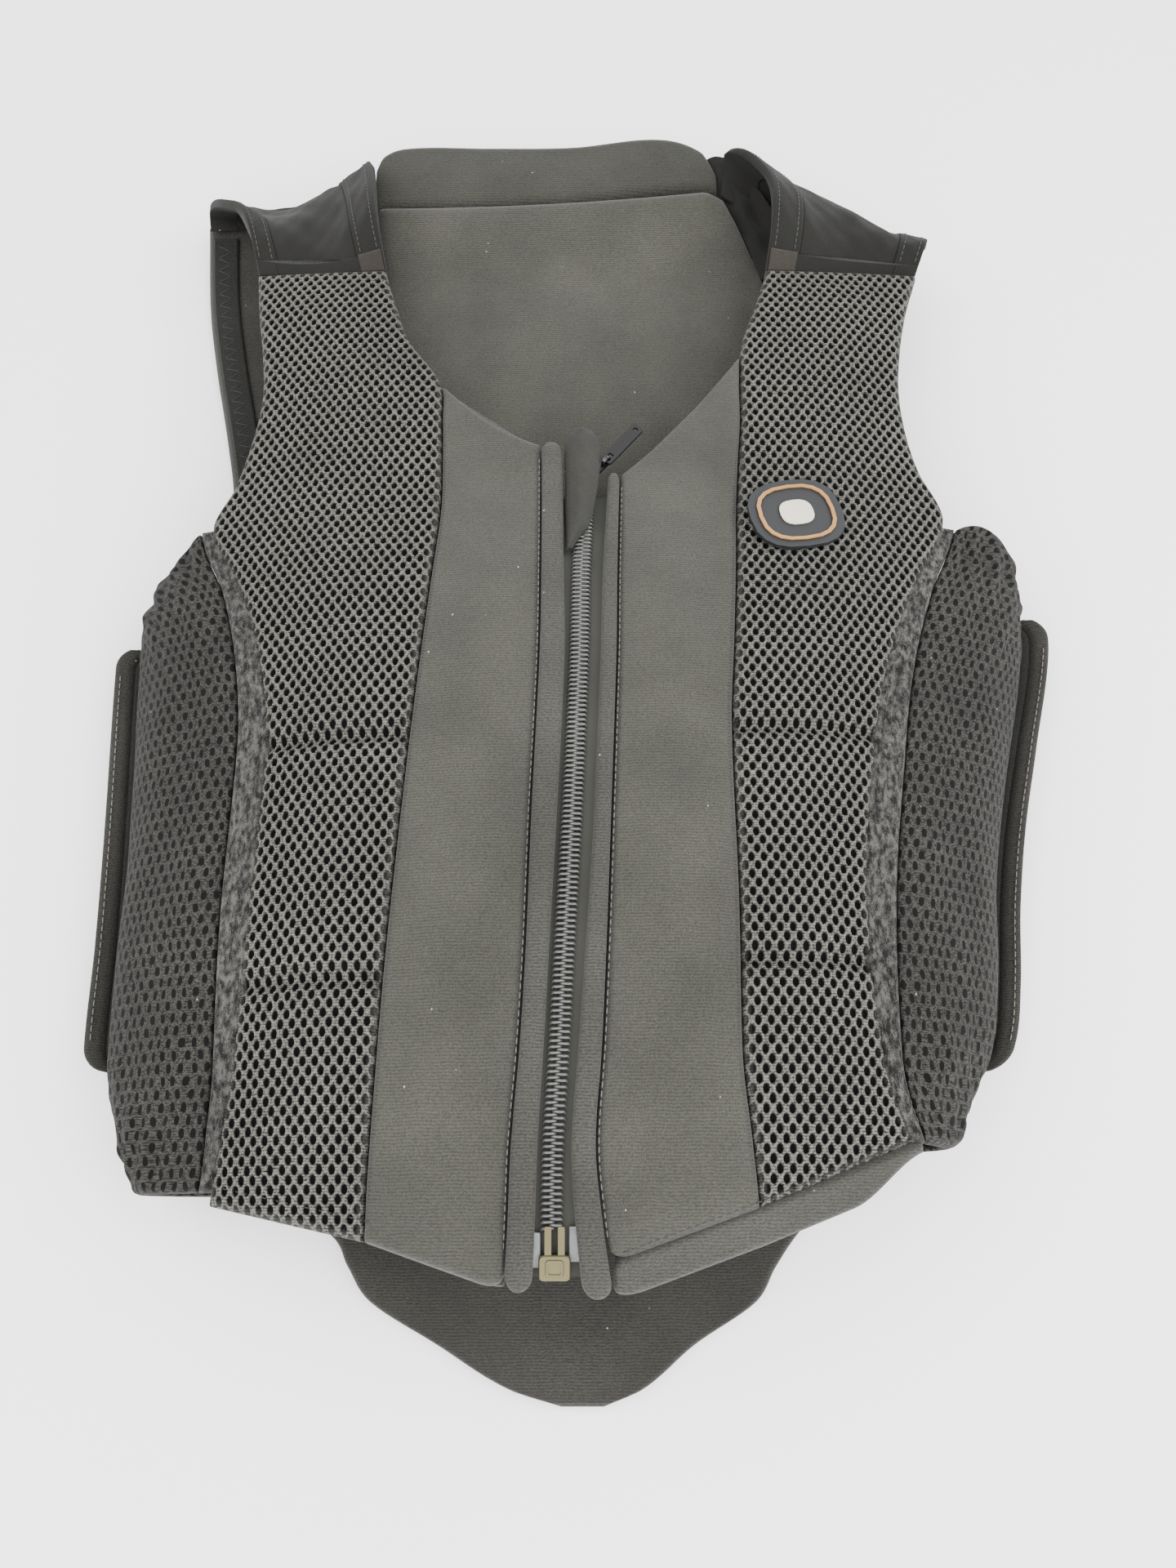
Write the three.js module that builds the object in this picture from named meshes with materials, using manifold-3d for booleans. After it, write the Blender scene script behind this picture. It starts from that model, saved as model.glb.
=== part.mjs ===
import * as THREE from 'three';
import { mergeVertices } from 'three/addons/utils/BufferGeometryUtils.js';
import Module from 'manifold-3d';

const wasm = await Module();
wasm.setup();

// Body protector lying on its back, zip up, millimetres.
// x runs across from the left side of the picture, y from the tail tip to the collar, z up.

// Driving dimensions
const LENGTH = 629;
const HALF_WIDTH = 210;
const HEIGHT = 105;
const GAP = 0.3;
const ARCH_POWER = 2.6;
const ARCH_HALF_WIDTH = 200;
const FRONT_PAD = 13;
const SIDE_PAD = 7;
const BACK_SHELL = 9;
const BACK_PAD = 11;
const BACK_CURL = 15;
const COLLAR_PAD = 14;
const YOKE_CLOTH = 2.6;
const YOKE_BAND = 3.4;
const WING_PAD = 5;
const WING_BINDING = 7;
const WING_BINDING_WIDTH = 8;
const WING_REACH = 16;
const WING_CORNER = 10;
const SEAM_BAND = 7;
const PAD_BULGE = 2.5;
const GROOVE_DEPTH = 5;
const GROOVE_WIDTH = 5;
const HEM_WIDTH = { left: 5, right: 12 };
const WELT_HEIGHT = 6.4;
const TAPE_THICKNESS = 1;
const TAPE_DEPTH = 5.4;
const COIL_WIDTH = 8;
const COIL_HEIGHT = 2.6;
const COIL_ROUND = 0.7;
const BADGE_WIDTH = 42;
const BADGE_HEIGHT = 37;
const BADGE_THICKNESS = 2.4;
const PULL = {
  length: 24, width: 5.6, bar: 1.2, eye: 2.6, plate: 1.6, lift: 2, beside: 6.2, above: 5.5,
};
const LUG = { round: 2.4, low: 3.6, tail: 1.9 };
const SLIDER = { width: 8, length: 12, height: 4.2, behind: 8 };
const PULL_OPENING = { length: 3.6, half: 1.5 };
const PULL_WINDOW = { length: 1.8, half: 1.2, fromTip: 1.6 };
const BOX = { width: 11.5, length: 9, height: 3.6, pinLength: 10, bevel: 0.4 };
const BOX_PIN = { width: 2.4, height: 2.2, aside: 2.4, above: 0.8, lap: 2 };
const BOX_FRAME = { width: 6.6, length: 6, rise: 0.5, border: 0.9 };

// Radius of each kind of edge and swell of each kind of pad
const EDGE = {
  centre: 3.5, mesh: 5, band: 2, facing: 2.4, side: 3, shell: 3, pad: 7, collar: 5, binding: 0.8,
};
const CROWN = { centre: 1.2, pad: 2, collar: 1 };

// How far the seam band and the hem facing lie below the front, and where seams are seated
const BAND_SINK = 2;
const FACING_SINK = 1.5;
const FACING_PAD = FRONT_PAD - 4;
const FACING_LAP = 1;
const COLLAR_SEAT = 1.2;
const BINDING_INSET = 3.5;

// Distances of the first two rows from an edge, and the least distance between rows
const ROW_NEAR = 3;
const ROW_FAR = 9;
const ROW_LEAST = 1.5;

// Chest arch: height of the front over the centre line and how far it drops at the sides,
// as shares of the height, by the share along the length from the tail
const ARCH = [
  { along: 0.070, crest: 0.724, drop: 0.590 },
  { along: 0.126, crest: 0.820, drop: 0.630 },
  { along: 0.205, crest: 0.933, drop: 0.620 },
  { along: 0.269, crest: 0.962, drop: 0.590 },
  { along: 0.364, crest: 0.933, drop: 0.533 },
  { along: 0.459, crest: 0.876, drop: 0.420 },
  { along: 0.523, crest: 0.820, drop: 0.343 },
  { along: 0.595, crest: 0.733, drop: 0.267 },
  { along: 0.682, crest: 0.686, drop: 0.257 },
  { along: 0.761, crest: 0.610, drop: 0.152 },
  { along: 0.825, crest: 0.533, drop: 0.076 },
];

// Front sewing lines as shares of the half width: the seam between the smooth and the mesh
// panel, and the outer edge of the mesh panel with the armhole above its widest row
const FRONT_LEFT = [
  { along: 0.070, seam: -0.390, edge: -0.700 },
  { along: 0.124, seam: -0.386, edge: -0.686 },
  { along: 0.153, seam: -0.381, edge: -0.671 },
  { along: 0.200, seam: -0.372, edge: -0.648 },
  { along: 0.299, seam: -0.357, edge: -0.638 },
  { along: 0.410, seam: -0.340, edge: -0.638 },
  { along: 0.471, seam: -0.329, edge: -0.671 },
  { along: 0.526, seam: -0.319, edge: -0.729 },
  { along: 0.583, seam: -0.310, edge: -0.814 },
  { along: 0.618, seam: -0.312, edge: -0.776 },
  { along: 0.663, seam: -0.318, edge: -0.748 },
  { along: 0.700, seam: -0.328, edge: -0.738 },
  { along: 0.744, seam: -0.405, edge: -0.752 },
  { along: 0.781, seam: -0.443, edge: -0.771 },
  { along: 0.820, seam: -0.476, edge: -0.786 },
];
const FRONT_RIGHT = [
  { along: 0.070, seam: 0.308, edge: 0.640 },
  { along: 0.124, seam: 0.295, edge: 0.610 },
  { along: 0.153, seam: 0.286, edge: 0.581 },
  { along: 0.200, seam: 0.271, edge: 0.533 },
  { along: 0.299, seam: 0.274, edge: 0.519 },
  { along: 0.410, seam: 0.276, edge: 0.567 },
  { along: 0.471, seam: 0.290, edge: 0.614 },
  { along: 0.526, seam: 0.302, edge: 0.681 },
  { along: 0.589, seam: 0.314, edge: 0.771 },
  { along: 0.630, seam: 0.324, edge: 0.729 },
  { along: 0.663, seam: 0.333, edge: 0.710 },
  { along: 0.701, seam: 0.337, edge: 0.705 },
  { along: 0.742, seam: 0.349, edge: 0.719 },
  { along: 0.781, seam: 0.386, edge: 0.744 },
  { along: 0.820, seam: 0.419, edge: 0.781 },
];

// Zip lines as shares of the half width: both welts' outer and inner edges and the coil
const ZIP = [
  { along: 0.070, leftOut: -0.143, leftIn: -0.095, coil: -0.057, rightIn: -0.010, rightOut: 0.043 },
  { along: 0.107, leftOut: -0.138, leftIn: -0.090, coil: -0.062, rightIn: -0.022, rightOut: 0.026 },
  { along: 0.149, leftOut: -0.133, leftIn: -0.086, coil: -0.060, rightIn: -0.029, rightOut: 0.014 },
  { along: 0.204, leftOut: -0.119, leftIn: -0.076, coil: -0.050, rightIn: -0.017, rightOut: 0.025 },
  { along: 0.266, leftOut: -0.110, leftIn: -0.067, coil: -0.041, rightIn: -0.004, rightOut: 0.034 },
  { along: 0.342, leftOut: -0.105, leftIn: -0.057, coil: -0.030, rightIn: 0.010, rightOut: 0.043 },
  { along: 0.458, leftOut: -0.095, leftIn: -0.045, coil: -0.017, rightIn: 0.024, rightOut: 0.056 },
  { along: 0.523, leftOut: -0.095, leftIn: -0.048, coil: -0.014, rightIn: 0.029, rightOut: 0.060 },
  { along: 0.595, leftOut: -0.098, leftIn: -0.052, coil: -0.006, rightIn: 0.040, rightOut: 0.066 },
  { along: 0.637, leftOut: -0.100, leftIn: -0.057, coil: -0.005, rightIn: 0.044, rightOut: 0.070 },
];

// Outermost fold of each side panel as shares of the half width
const FOLD_LEFT = [
  { along: 0.110, fold: -0.860 },
  { along: 0.135, fold: -0.870 },
  { along: 0.159, fold: -0.902 },
  { along: 0.189, fold: -0.925 },
  { along: 0.226, fold: -0.936 },
  { along: 0.291, fold: -0.940 },
  { along: 0.375, fold: -0.952 },
  { along: 0.498, fold: -0.974 },
  { along: 0.539, fold: -0.975 },
  { along: 0.560, fold: -0.952 },
  { along: 0.580, fold: -0.913 },
];
const FOLD_RIGHT = [
  { along: 0.140, fold: 0.650 },
  { along: 0.162, fold: 0.680 },
  { along: 0.189, fold: 0.731 },
  { along: 0.226, fold: 0.785 },
  { along: 0.264, fold: 0.807 },
  { along: 0.318, fold: 0.825 },
  { along: 0.375, fold: 0.855 },
  { along: 0.436, fold: 0.899 },
  { along: 0.515, fold: 0.954 },
  { along: 0.561, fold: 0.951 },
  { along: 0.604, fold: 0.948 },
];

// Outline of the back shell as shares of the half width, tail first
const BACK = [
  { along: 0.001, left: -0.050, right: 0.030 },
  { along: 0.011, left: -0.152, right: 0.105 },
  { along: 0.037, left: -0.290, right: 0.205 },
  { along: 0.062, left: -0.420, right: 0.324 },
  { along: 0.083, left: -0.467, right: 0.365 },
  { along: 0.103, left: -0.505, right: 0.410 },
  { along: 0.127, left: -0.640, right: 0.480 },
  { along: 0.151, left: -0.735, right: 0.540 },
  { along: 0.189, left: -0.785, right: 0.600 },
  { along: 0.226, left: -0.800, right: 0.655 },
  { along: 0.318, left: -0.805, right: 0.690 },
  { along: 0.436, left: -0.815, right: 0.755 },
  { along: 0.539, left: -0.825, right: 0.790 },
  { along: 0.583, left: -0.838, right: 0.780 },
  { along: 0.657, left: -0.848, right: 0.755 },
  { along: 0.709, left: -0.876, right: 0.750 },
  { along: 0.789, left: -0.929, right: 0.760 },
  { along: 0.852, left: -0.962, right: 0.780 },
  { along: 0.918, left: -0.971, right: 0.790 },
];

// Top edge of the back shell: share across from its left to its right edge, share along
const BACK_TOP = [
  { across: 0.00, along: 0.918 },
  { across: 0.24, along: 0.924 },
  { across: 0.52, along: 0.931 },
  { across: 0.72, along: 0.941 },
  { across: 0.82, along: 0.920 },
  { across: 1.00, along: 0.850 },
];

// Outline of the thick inner back pad, shares of the half width
const INNER_PAD = [
  { along: 0.200, left: -0.520, right: 0.400 },
  { along: 0.230, left: -0.580, right: 0.470 },
  { along: 0.300, left: -0.610, right: 0.500 },
  { along: 0.600, left: -0.610, right: 0.540 },
  { along: 0.760, left: -0.560, right: 0.500 },
  { along: 0.850, left: -0.515, right: 0.450 },
  { along: 0.890, left: -0.530, right: 0.400 },
  { along: 0.924, left: -0.535, right: 0.345 },
];

// Collar outline: share of the half width, share along its outer edge
const COLLAR_EDGE = [
  { across: -0.545, along: 0.960 },
  { across: -0.525, along: 0.980 },
  { across: -0.460, along: 0.990 },
  { across: -0.250, along: 0.990 },
  { across: -0.040, along: 0.991 },
  { across: 0.180, along: 1.000 },
  { across: 0.290, along: 0.986 },
  { across: 0.330, along: 0.958 },
];

// Shoulder yokes, front seam over the bend to the back seam: neck side and arm side points,
// x as a share of the half width, y of the length, z of the height
const YOKE_LEFT = [
  { turn: 0.00, neckX: -0.478, neckY: 0.8225, neckZ: 0.467, armX: -0.784, armY: 0.8225, armZ: 0.438 },
  { turn: 0.22, neckX: -0.505, neckY: 0.868, neckZ: 0.560, armX: -0.805, armY: 0.855, armZ: 0.530 },
  { turn: 0.42, neckX: -0.525, neckY: 0.912, neckZ: 0.510, armX: -0.845, armY: 0.888, armZ: 0.500 },
  { turn: 0.62, neckX: -0.545, neckY: 0.95, neckZ: 0.380, armX: -0.905, armY: 0.908, armZ: 0.390 },
  { turn: 0.82, neckX: -0.560, neckY: 0.958, neckZ: 0.200, armX: -0.952, armY: 0.924, armZ: 0.210 },
  { turn: 1.00, neckX: -0.556, neckY: 0.932, neckZ: 0.060, armX: -0.968, armY: 0.924, armZ: 0.060 },
];
const YOKE_RIGHT = [
  { turn: 0.00, neckX: 0.422, neckY: 0.8225, neckZ: 0.470, armX: 0.779, armY: 0.8225, armZ: 0.438 },
  { turn: 0.22, neckX: 0.440, neckY: 0.868, neckZ: 0.570, armX: 0.800, armY: 0.842, armZ: 0.520 },
  { turn: 0.42, neckX: 0.440, neckY: 0.912, neckZ: 0.540, armX: 0.815, armY: 0.856, armZ: 0.470 },
  { turn: 0.62, neckX: 0.400, neckY: 0.955, neckZ: 0.410, armX: 0.812, armY: 0.866, armZ: 0.350 },
  { turn: 0.82, neckX: 0.355, neckY: 0.973, neckZ: 0.230, armX: 0.800, armY: 0.867, armZ: 0.190 },
  { turn: 1.00, neckX: 0.352, neckY: 0.952, neckZ: 0.060, armX: 0.785, armY: 0.858, armZ: 0.060 },
];

// Hood over the zip slider: edges as shares of the half width, crest as a share of its lift
const HOOD = [
  { along: 0.541, left: -0.044, right: -0.034, lift: 0.51 },
  { along: 0.552, left: -0.045, right: -0.018, lift: 0.60 },
  { along: 0.563, left: -0.046, right: 0.002, lift: 0.71 },
  { along: 0.583, left: -0.048, right: 0.014, lift: 0.91 },
  { along: 0.603, left: -0.049, right: 0.022, lift: 1.00 },
  { along: 0.626, left: -0.051, right: 0.027, lift: 0.91 },
  { along: 0.640, left: -0.050, right: 0.021, lift: 0.71 },
  { along: 0.647, left: -0.044, right: 0.008, lift: 0.57 },
];

// Places along the length
const HEM_SEAM = { left: 0.097, right: 0.0965 };
const NECK_SEAM = { left: 0.695, right: 0.725 };
const SHOULDER = 0.822;
const GROOVES = { left: [0.245, 0.403], right: [0.256, 0.408] };
const FLANK_START = { left: 0.132, right: 0.166 };
const FLANK_END = 0.583;
const WING_START = 0.205;
const WING_END = { left: 0.516, right: 0.541 };
const CURL = { from: 0.84, to: 0.97 };
const BINDING_RUN = { from: 0.64, to: 0.835 };
const BINDING_TOP = { left: [0.865, 0.878, 0.891, 0.905], right: [] };
const PULL_HEADING = THREE.MathUtils.degToRad(50);
const ZIP_END = 0.079;
const ZIP_START = 0.594;
const BADGE_PLACE = { x: 0.433, y: 0.574 };
const BADGE_TURN = THREE.MathUtils.degToRad(13);

const clamp = (value, low, high) => Math.min(high, Math.max(low, value));
const mix = (a, b, share) => a + (b - a) * share;
const smooth = (value) => {
  const share = clamp(value, 0, 1);
  return share * share * (3 - 2 * share);
};

// Smooth curve through one column of a table
function track(table, column, key = 'along') {
  const at = table.map((row) => row[key]);
  const values = table.map((row) => row[column]);
  const slope = values.map((value, i) => {
    const before = Math.max(0, i - 1);
    const after = Math.min(values.length - 1, i + 1);
    return (values[after] - values[before]) / (at[after] - at[before]);
  });
  return (place) => {
    const spot = clamp(place, at[0], at[at.length - 1]);
    let i = 0;
    while (i < at.length - 2 && spot > at[i + 1]) i += 1;
    const span = at[i + 1] - at[i];
    const t = (spot - at[i]) / span;
    const t2 = t * t;
    const t3 = t2 * t;
    return values[i] * (2 * t3 - 3 * t2 + 1) + slope[i] * span * (t3 - 2 * t2 + t)
      + values[i + 1] * (3 * t2 - 2 * t3) + slope[i + 1] * span * (t3 - t2);
  };
}

const crest = track(ARCH, 'crest');
const drop = track(ARCH, 'drop');

// Height of the outside of the front over any spot
function frontHeight(x, y) {
  const along = y / LENGTH;
  const reach = Math.abs(x) / ARCH_HALF_WIDTH;
  return HEIGHT * (crest(along) - drop(along) * reach ** ARCH_POWER);
}

// How far the stiff back curls up from the floor towards the collar
const backRise = (y) => (
  BACK_CURL * smooth((y / LENGTH - CURL.from) / (CURL.to - CURL.from))
);

// Shares from 0 to 1 that crowd towards both ends, so that edges can be rounded
const crowded = (count) => Array.from({ length: count + 1 }, (_, i) => (
  (1 - Math.cos((Math.PI * i) / count)) / 2
));
const even = (count) => Array.from({ length: count + 1 }, (_, i) => i / count);

// Quarter-round fall of a surface near an edge
function roll(distance, radius) {
  const share = clamp(1 - distance / radius, 0, 1);
  return radius * (1 - Math.sqrt(1 - share * share));
}

// Closed geometry with its faces pointing out
function closed(points, faces) {
  const corners = points.map((p) => (p.isVector3 ? p : new THREE.Vector3(...p)));
  let volume = 0;
  for (let i = 0; i < faces.length; i += 3) {
    const [a, b, c] = [corners[faces[i]], corners[faces[i + 1]], corners[faces[i + 2]]];
    volume += a.dot(new THREE.Vector3().crossVectors(b, c));
  }
  if (volume < 0) faces.reverse();
  const geometry = new THREE.BufferGeometry().setFromPoints(corners);
  geometry.setIndex(faces);
  geometry.computeVertexNormals();
  return geometry;
}

// Thick sheet between an outer and an inner grid of points
function sheet(outer, inner) {
  const rows = outer.length;
  const cols = outer[0].length;
  const faces = [];
  const spot = (layer, r, c) => (layer * rows + r) * cols + c;
  const quad = (a, b, c, d) => faces.push(a, b, c, a, c, d);
  for (let r = 0; r < rows - 1; r += 1) {
    for (let c = 0; c < cols - 1; c += 1) {
      quad(spot(0, r, c), spot(0, r, c + 1), spot(0, r + 1, c + 1), spot(0, r + 1, c));
      quad(spot(1, r, c), spot(1, r + 1, c), spot(1, r + 1, c + 1), spot(1, r, c + 1));
    }
    quad(spot(0, r, 0), spot(0, r + 1, 0), spot(1, r + 1, 0), spot(1, r, 0));
    quad(spot(0, r, cols - 1), spot(1, r, cols - 1), spot(1, r + 1, cols - 1), spot(0, r + 1, cols - 1));
  }
  for (let c = 0; c < cols - 1; c += 1) {
    quad(spot(0, 0, c), spot(1, 0, c), spot(1, 0, c + 1), spot(0, 0, c + 1));
    quad(spot(0, rows - 1, c), spot(0, rows - 1, c + 1), spot(1, rows - 1, c + 1), spot(1, rows - 1, c));
  }
  return closed([...outer.flat(), ...inner.flat()], faces);
}

// Bar through a list of equal rings, closed by a fan at both ends
function bar(rings) {
  const count = rings[0].length;
  const points = rings.flat();
  const faces = [];
  for (let r = 0; r < rings.length - 1; r += 1) {
    for (let i = 0; i < count; i += 1) {
      const next = (i + 1) % count;
      const a = r * count + i;
      const b = r * count + next;
      faces.push(a, b, b + count, a, b + count, a + count);
    }
  }
  for (const [ring, forward] of [[0, false], [rings.length - 1, true]]) {
    const centre = rings[ring].reduce((sum, p) => sum.add(p), new THREE.Vector3());
    points.push(centre.multiplyScalar(1 / count));
    for (let i = 0; i < count; i += 1) {
      const a = ring * count + i;
      const b = ring * count + (i + 1) % count;
      faces.push(...(forward ? [a, b, points.length - 1] : [b, a, points.length - 1]));
    }
  }
  return closed(points, faces);
}

// Pad on a grid of places: the outside follows a height, falls off at its edges and is dented
// where it is quilted
function pad({ places, height, thickness, edge, bulge = 0, dent = () => 0, under = 0.45 }) {
  const rows = places.length;
  const cols = places[0].length;
  const outer = [];
  const inner = [];
  places.forEach((row, r) => {
    outer.push([]);
    inner.push([]);
    row.forEach(([x, y], c) => {
      const ends = [row[0], row[cols - 1], places[0][c], places[rows - 1][c]];
      const distance = Math.min(...ends.map(([ex, ey]) => Math.hypot(x - ex, y - ey)));
      const span = Math.hypot(row[cols - 1][0] - row[0][0], row[cols - 1][1] - row[0][1]);
      const swell = bulge * smooth(distance / Math.max(span / 2, 1));
      const z = height(x, y);
      outer[r].push(new THREE.Vector3(x, y, z + swell - roll(distance, edge) - dent(x, y)));
      inner[r].push(new THREE.Vector3(x, y, z - thickness + roll(distance, edge * under)));
    });
  });
  return sheet(outer, inner);
}

const group = new THREE.Group();

function add(name, geometry, colour, roughness, metalness = 0) {
  const material = new THREE.MeshStandardMaterial({ color: colour, roughness, metalness });
  const mesh = new THREE.Mesh(geometry, material);
  mesh.name = name;
  group.add(mesh);
  return mesh;
}

// Colours
const SMOOTH = 0x4c4d49;
const MESH_CLOTH = 0x35363a;
const PERFORATED = 0x46454a;
const TWILL = 0x3a3a38;
const TAIL = 0x3c3c3a;
const WELT = 0x424340;
const COIL = 0x2c2f31;
const BLACK_METAL = 0x111214;
const BRASS = 0x6e6848;

// Front of one side
const tables = { left: FRONT_LEFT, right: FRONT_RIGHT };
const folds = { left: FOLD_LEFT, right: FOLD_RIGHT };
const sign = { left: -1, right: 1 };
const zipOut = { left: track(ZIP, 'leftOut'), right: track(ZIP, 'rightOut') };
const zipIn = { left: track(ZIP, 'leftIn'), right: track(ZIP, 'rightIn') };
const coilLine = track(ZIP, 'coil');
const NECK_DROP = { left: 0.057 * LENGTH, right: 0.114 * LENGTH };
const HEM_FALL = { left: 0.027 * LENGTH, right: 0.030 * LENGTH };
const HEM_RISE = { left: 0.021 * LENGTH, right: 0.038 * LENGTH };
const HEM_FADE = 0.111 * LENGTH;
const NECK_FADE = 0.199 * LENGTH;

// Rows of the front, shared by every front panel of a side so that their seams meet
function frontRows(side) {
  const hem = HEM_SEAM[side] * LENGTH;
  const neck = NECK_SEAM[side] * LENGTH;
  const [low, high] = GROOVES[side].map((along) => along * LENGTH);
  const top = SHOULDER * LENGTH;
  const rows = [hem, hem + ROW_NEAR, hem + ROW_FAR];
  const belowNeck = neck - ROW_FAR - ROW_NEAR;
  const runs = [
    [hem + ROW_FAR, low, 3], [low, high, 5], [high, belowNeck, 5], [neck, top - ROW_FAR, 2],
  ];
  for (const [from, to, count] of runs) {
    for (let i = 0; i <= count; i += 1) rows.push(mix(from, to, i / count));
  }
  rows.push(low - GROOVE_WIDTH, low + GROOVE_WIDTH, high - GROOVE_WIDTH, high + GROOVE_WIDTH);
  const flankEnd = FLANK_END * LENGTH;
  rows.push(flankEnd - ROW_FAR, flankEnd - ROW_NEAR);
  rows.push(neck - 2 * ROW_NEAR, neck - ROW_NEAR, top - ROW_NEAR);
  const kept = [hem, flankEnd, neck, top];
  const isKept = (row) => kept.includes(row);
  const spread = rows.filter((row) => kept.every((place) => Math.abs(row - place) > ROW_LEAST));
  const sorted = [...spread, ...kept].sort((a, b) => a - b);
  return sorted.filter((row, i) => i === 0 || isKept(row) || row - sorted[i - 1] > ROW_LEAST);
}

// How far the facing at the hem shortens the panels above it
function facing(side, row) {
  return HEM_WIDTH[side] * smooth(1 - (row - HEM_SEAM[side] * LENGTH) / (HEM_FADE * 0.6));
}

// Place on one side's front: the row's distance along, and the column as a line's name
function frontSpot(side, row, line, raise = facing(side, row)) {
  const seam = track(tables[side], 'seam');
  const edge = track(tables[side], 'edge');
  const hemShare = smooth(1 - (row - HEM_SEAM[side] * LENGTH) / HEM_FADE);
  const neckShare = smooth(1 - (NECK_SEAM[side] * LENGTH - row) / NECK_FADE);
  const centre = -HEM_FALL[side] * hemShare - NECK_DROP[side] * neckShare;
  const shift = { zip: centre, seam: 0, edge: HEM_RISE[side] * hemShare }[line];
  const y = row + shift + raise;
  const lines = { zip: zipOut[side], seam, edge };
  return [HALF_WIDTH * lines[line](y / LENGTH), y];
}

function frontPlaces(side, rows, from, to, cols, reach = () => 0) {
  const inset = (sign[side] * GAP) / 2;
  return rows.map((row) => {
    const [ax, ay] = frontSpot(side, row, from);
    const [bx, by] = frontSpot(side, row, to);
    return cols.map((share) => [
      mix(ax + inset, bx - inset, share),
      mix(ay, by, share) + reach(row, share),
    ]);
  });
}

const BAND_MIN = 5;
const BAND_SWELL = 8;
const NECK_SAG = 0.008 * LENGTH;

// Width of the seam band beside the mesh panel's edge
function bandWidth(side, y) {
  const share = (y / LENGTH - FLANK_START[side]) / (FLANK_END - FLANK_START[side]);
  return BAND_MIN + BAND_SWELL * Math.sin(Math.PI * clamp(share, 0.02, 0.98));
}

// Distances along at which the flank pieces meet the mesh panel's rows
function flankRows(side) {
  const rows = frontRows(side).filter((row) => row < FLANK_END * LENGTH + 0.01);
  return rows.map((row) => frontSpot(side, row, 'edge')[1]);
}

for (const side of ['left', 'right']) {
  const rows = frontRows(side);
  const neck = NECK_SEAM[side] * LENGTH;

  // Smooth centre panel from the welt to the mesh seam, its top cut by the neckline
  const centreRows = rows.filter((row) => row <= neck + 0.01);
  add(`front_centre_${side}`, pad({
    places: frontPlaces(side, centreRows, 'zip', 'seam', crowded(4), (row, share) => (
      -NECK_SAG * Math.sin(Math.PI * share) * smooth(1 - (neck - row) / NECK_FADE)
    )),
    height: frontHeight,
    thickness: FRONT_PAD,
    edge: EDGE.centre,
    bulge: CROWN.centre,
  }), SMOOTH, 0.85);

  // Mesh panel with two quilting grooves, up to the shoulder
  const grooves = GROOVES[side].map((along) => along * LENGTH);
  const groove = (x, y) => grooves.reduce((deepest, row) => (
    Math.max(deepest, GROOVE_DEPTH * Math.exp(-(((y - row) / GROOVE_WIDTH) ** 2)))
  ), 0);
  add(`front_mesh_${side}`, pad({
    places: frontPlaces(side, rows, 'seam', 'edge', crowded(5)),
    height: frontHeight,
    thickness: FRONT_PAD,
    edge: EDGE.mesh,
    bulge: PAD_BULGE,
    dent: groove,
  }), MESH_CLOTH, 0.95);

  // Crushed seam band between the mesh panel and the side panel
  const edge = track(tables[side], 'edge');
  const bandPlaces = flankRows(side).map((y) => {
    const inner = HALF_WIDTH * edge(y / LENGTH) + (sign[side] * GAP) / 2;
    const outer = HALF_WIDTH * edge(y / LENGTH) + sign[side] * (bandWidth(side, y) - GAP / 2);
    return [0, 0.2, 0.8, 1].map((share) => [mix(inner, outer, share), y]);
  });
  add(`side_seam_${side}`, pad({
    places: bandPlaces,
    height: (x, y) => frontHeight(x, y) - BAND_SINK,
    thickness: SEAM_BAND,
    edge: EDGE.band,
  }), MESH_CLOTH, 0.95);
}

// Side panels: from the seam band out over the fold and in under, down to the back shell
const TUCK = 12;
const FOLD_PUSH = 36;
const FOLD_LEAST = 12;
const SIDE_LOW = 34;
const SLANT = {
  left: { rise: 0, fall: 15, over: 75 },
  right: { rise: 9, fall: 8, over: 60 },
};
const PUCKER = { depth: 1.1, pitch: 29, over: 60 };

// How far a spot of the side panel is pulled up or down along the body near its upper end
function slant(side, share, fromEnd) {
  const { rise, fall, over } = SLANT[side];
  const up = rise * Math.sin(Math.PI * clamp(share / 0.45, 0, 1));
  return (up - fall * smooth(share / 0.5)) * smooth(1 - fromEnd / over);
}

function sideSection(side, y) {
  const edge = track(tables[side], 'edge');
  const back = track(BACK, side);
  const foldLine = track(folds[side], 'fold');
  const s = sign[side];
  const along = y / LENGTH;
  const from = Math.abs(HALF_WIDTH * edge(along)) + bandWidth(side, y) + GAP / 2;
  const fold = Math.max(Math.abs(HALF_WIDTH * foldLine(along)), from + FOLD_LEAST);
  const to = Math.abs(HALF_WIDTH * back(along)) - TUCK;
  const top = frontHeight(from, y) - BAND_SINK;
  const low = BACK_SHELL + GAP;
  return new THREE.CubicBezierCurve3(
    new THREE.Vector3(s * from, y, top),
    new THREE.Vector3(s * mix(from, fold, 0.85), y, mix(top, SIDE_LOW, 0.35)),
    new THREE.Vector3(s * (fold + FOLD_PUSH), y, mix(low, SIDE_LOW, 0.25)),
    new THREE.Vector3(s * to, y, low),
  );
}

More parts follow.
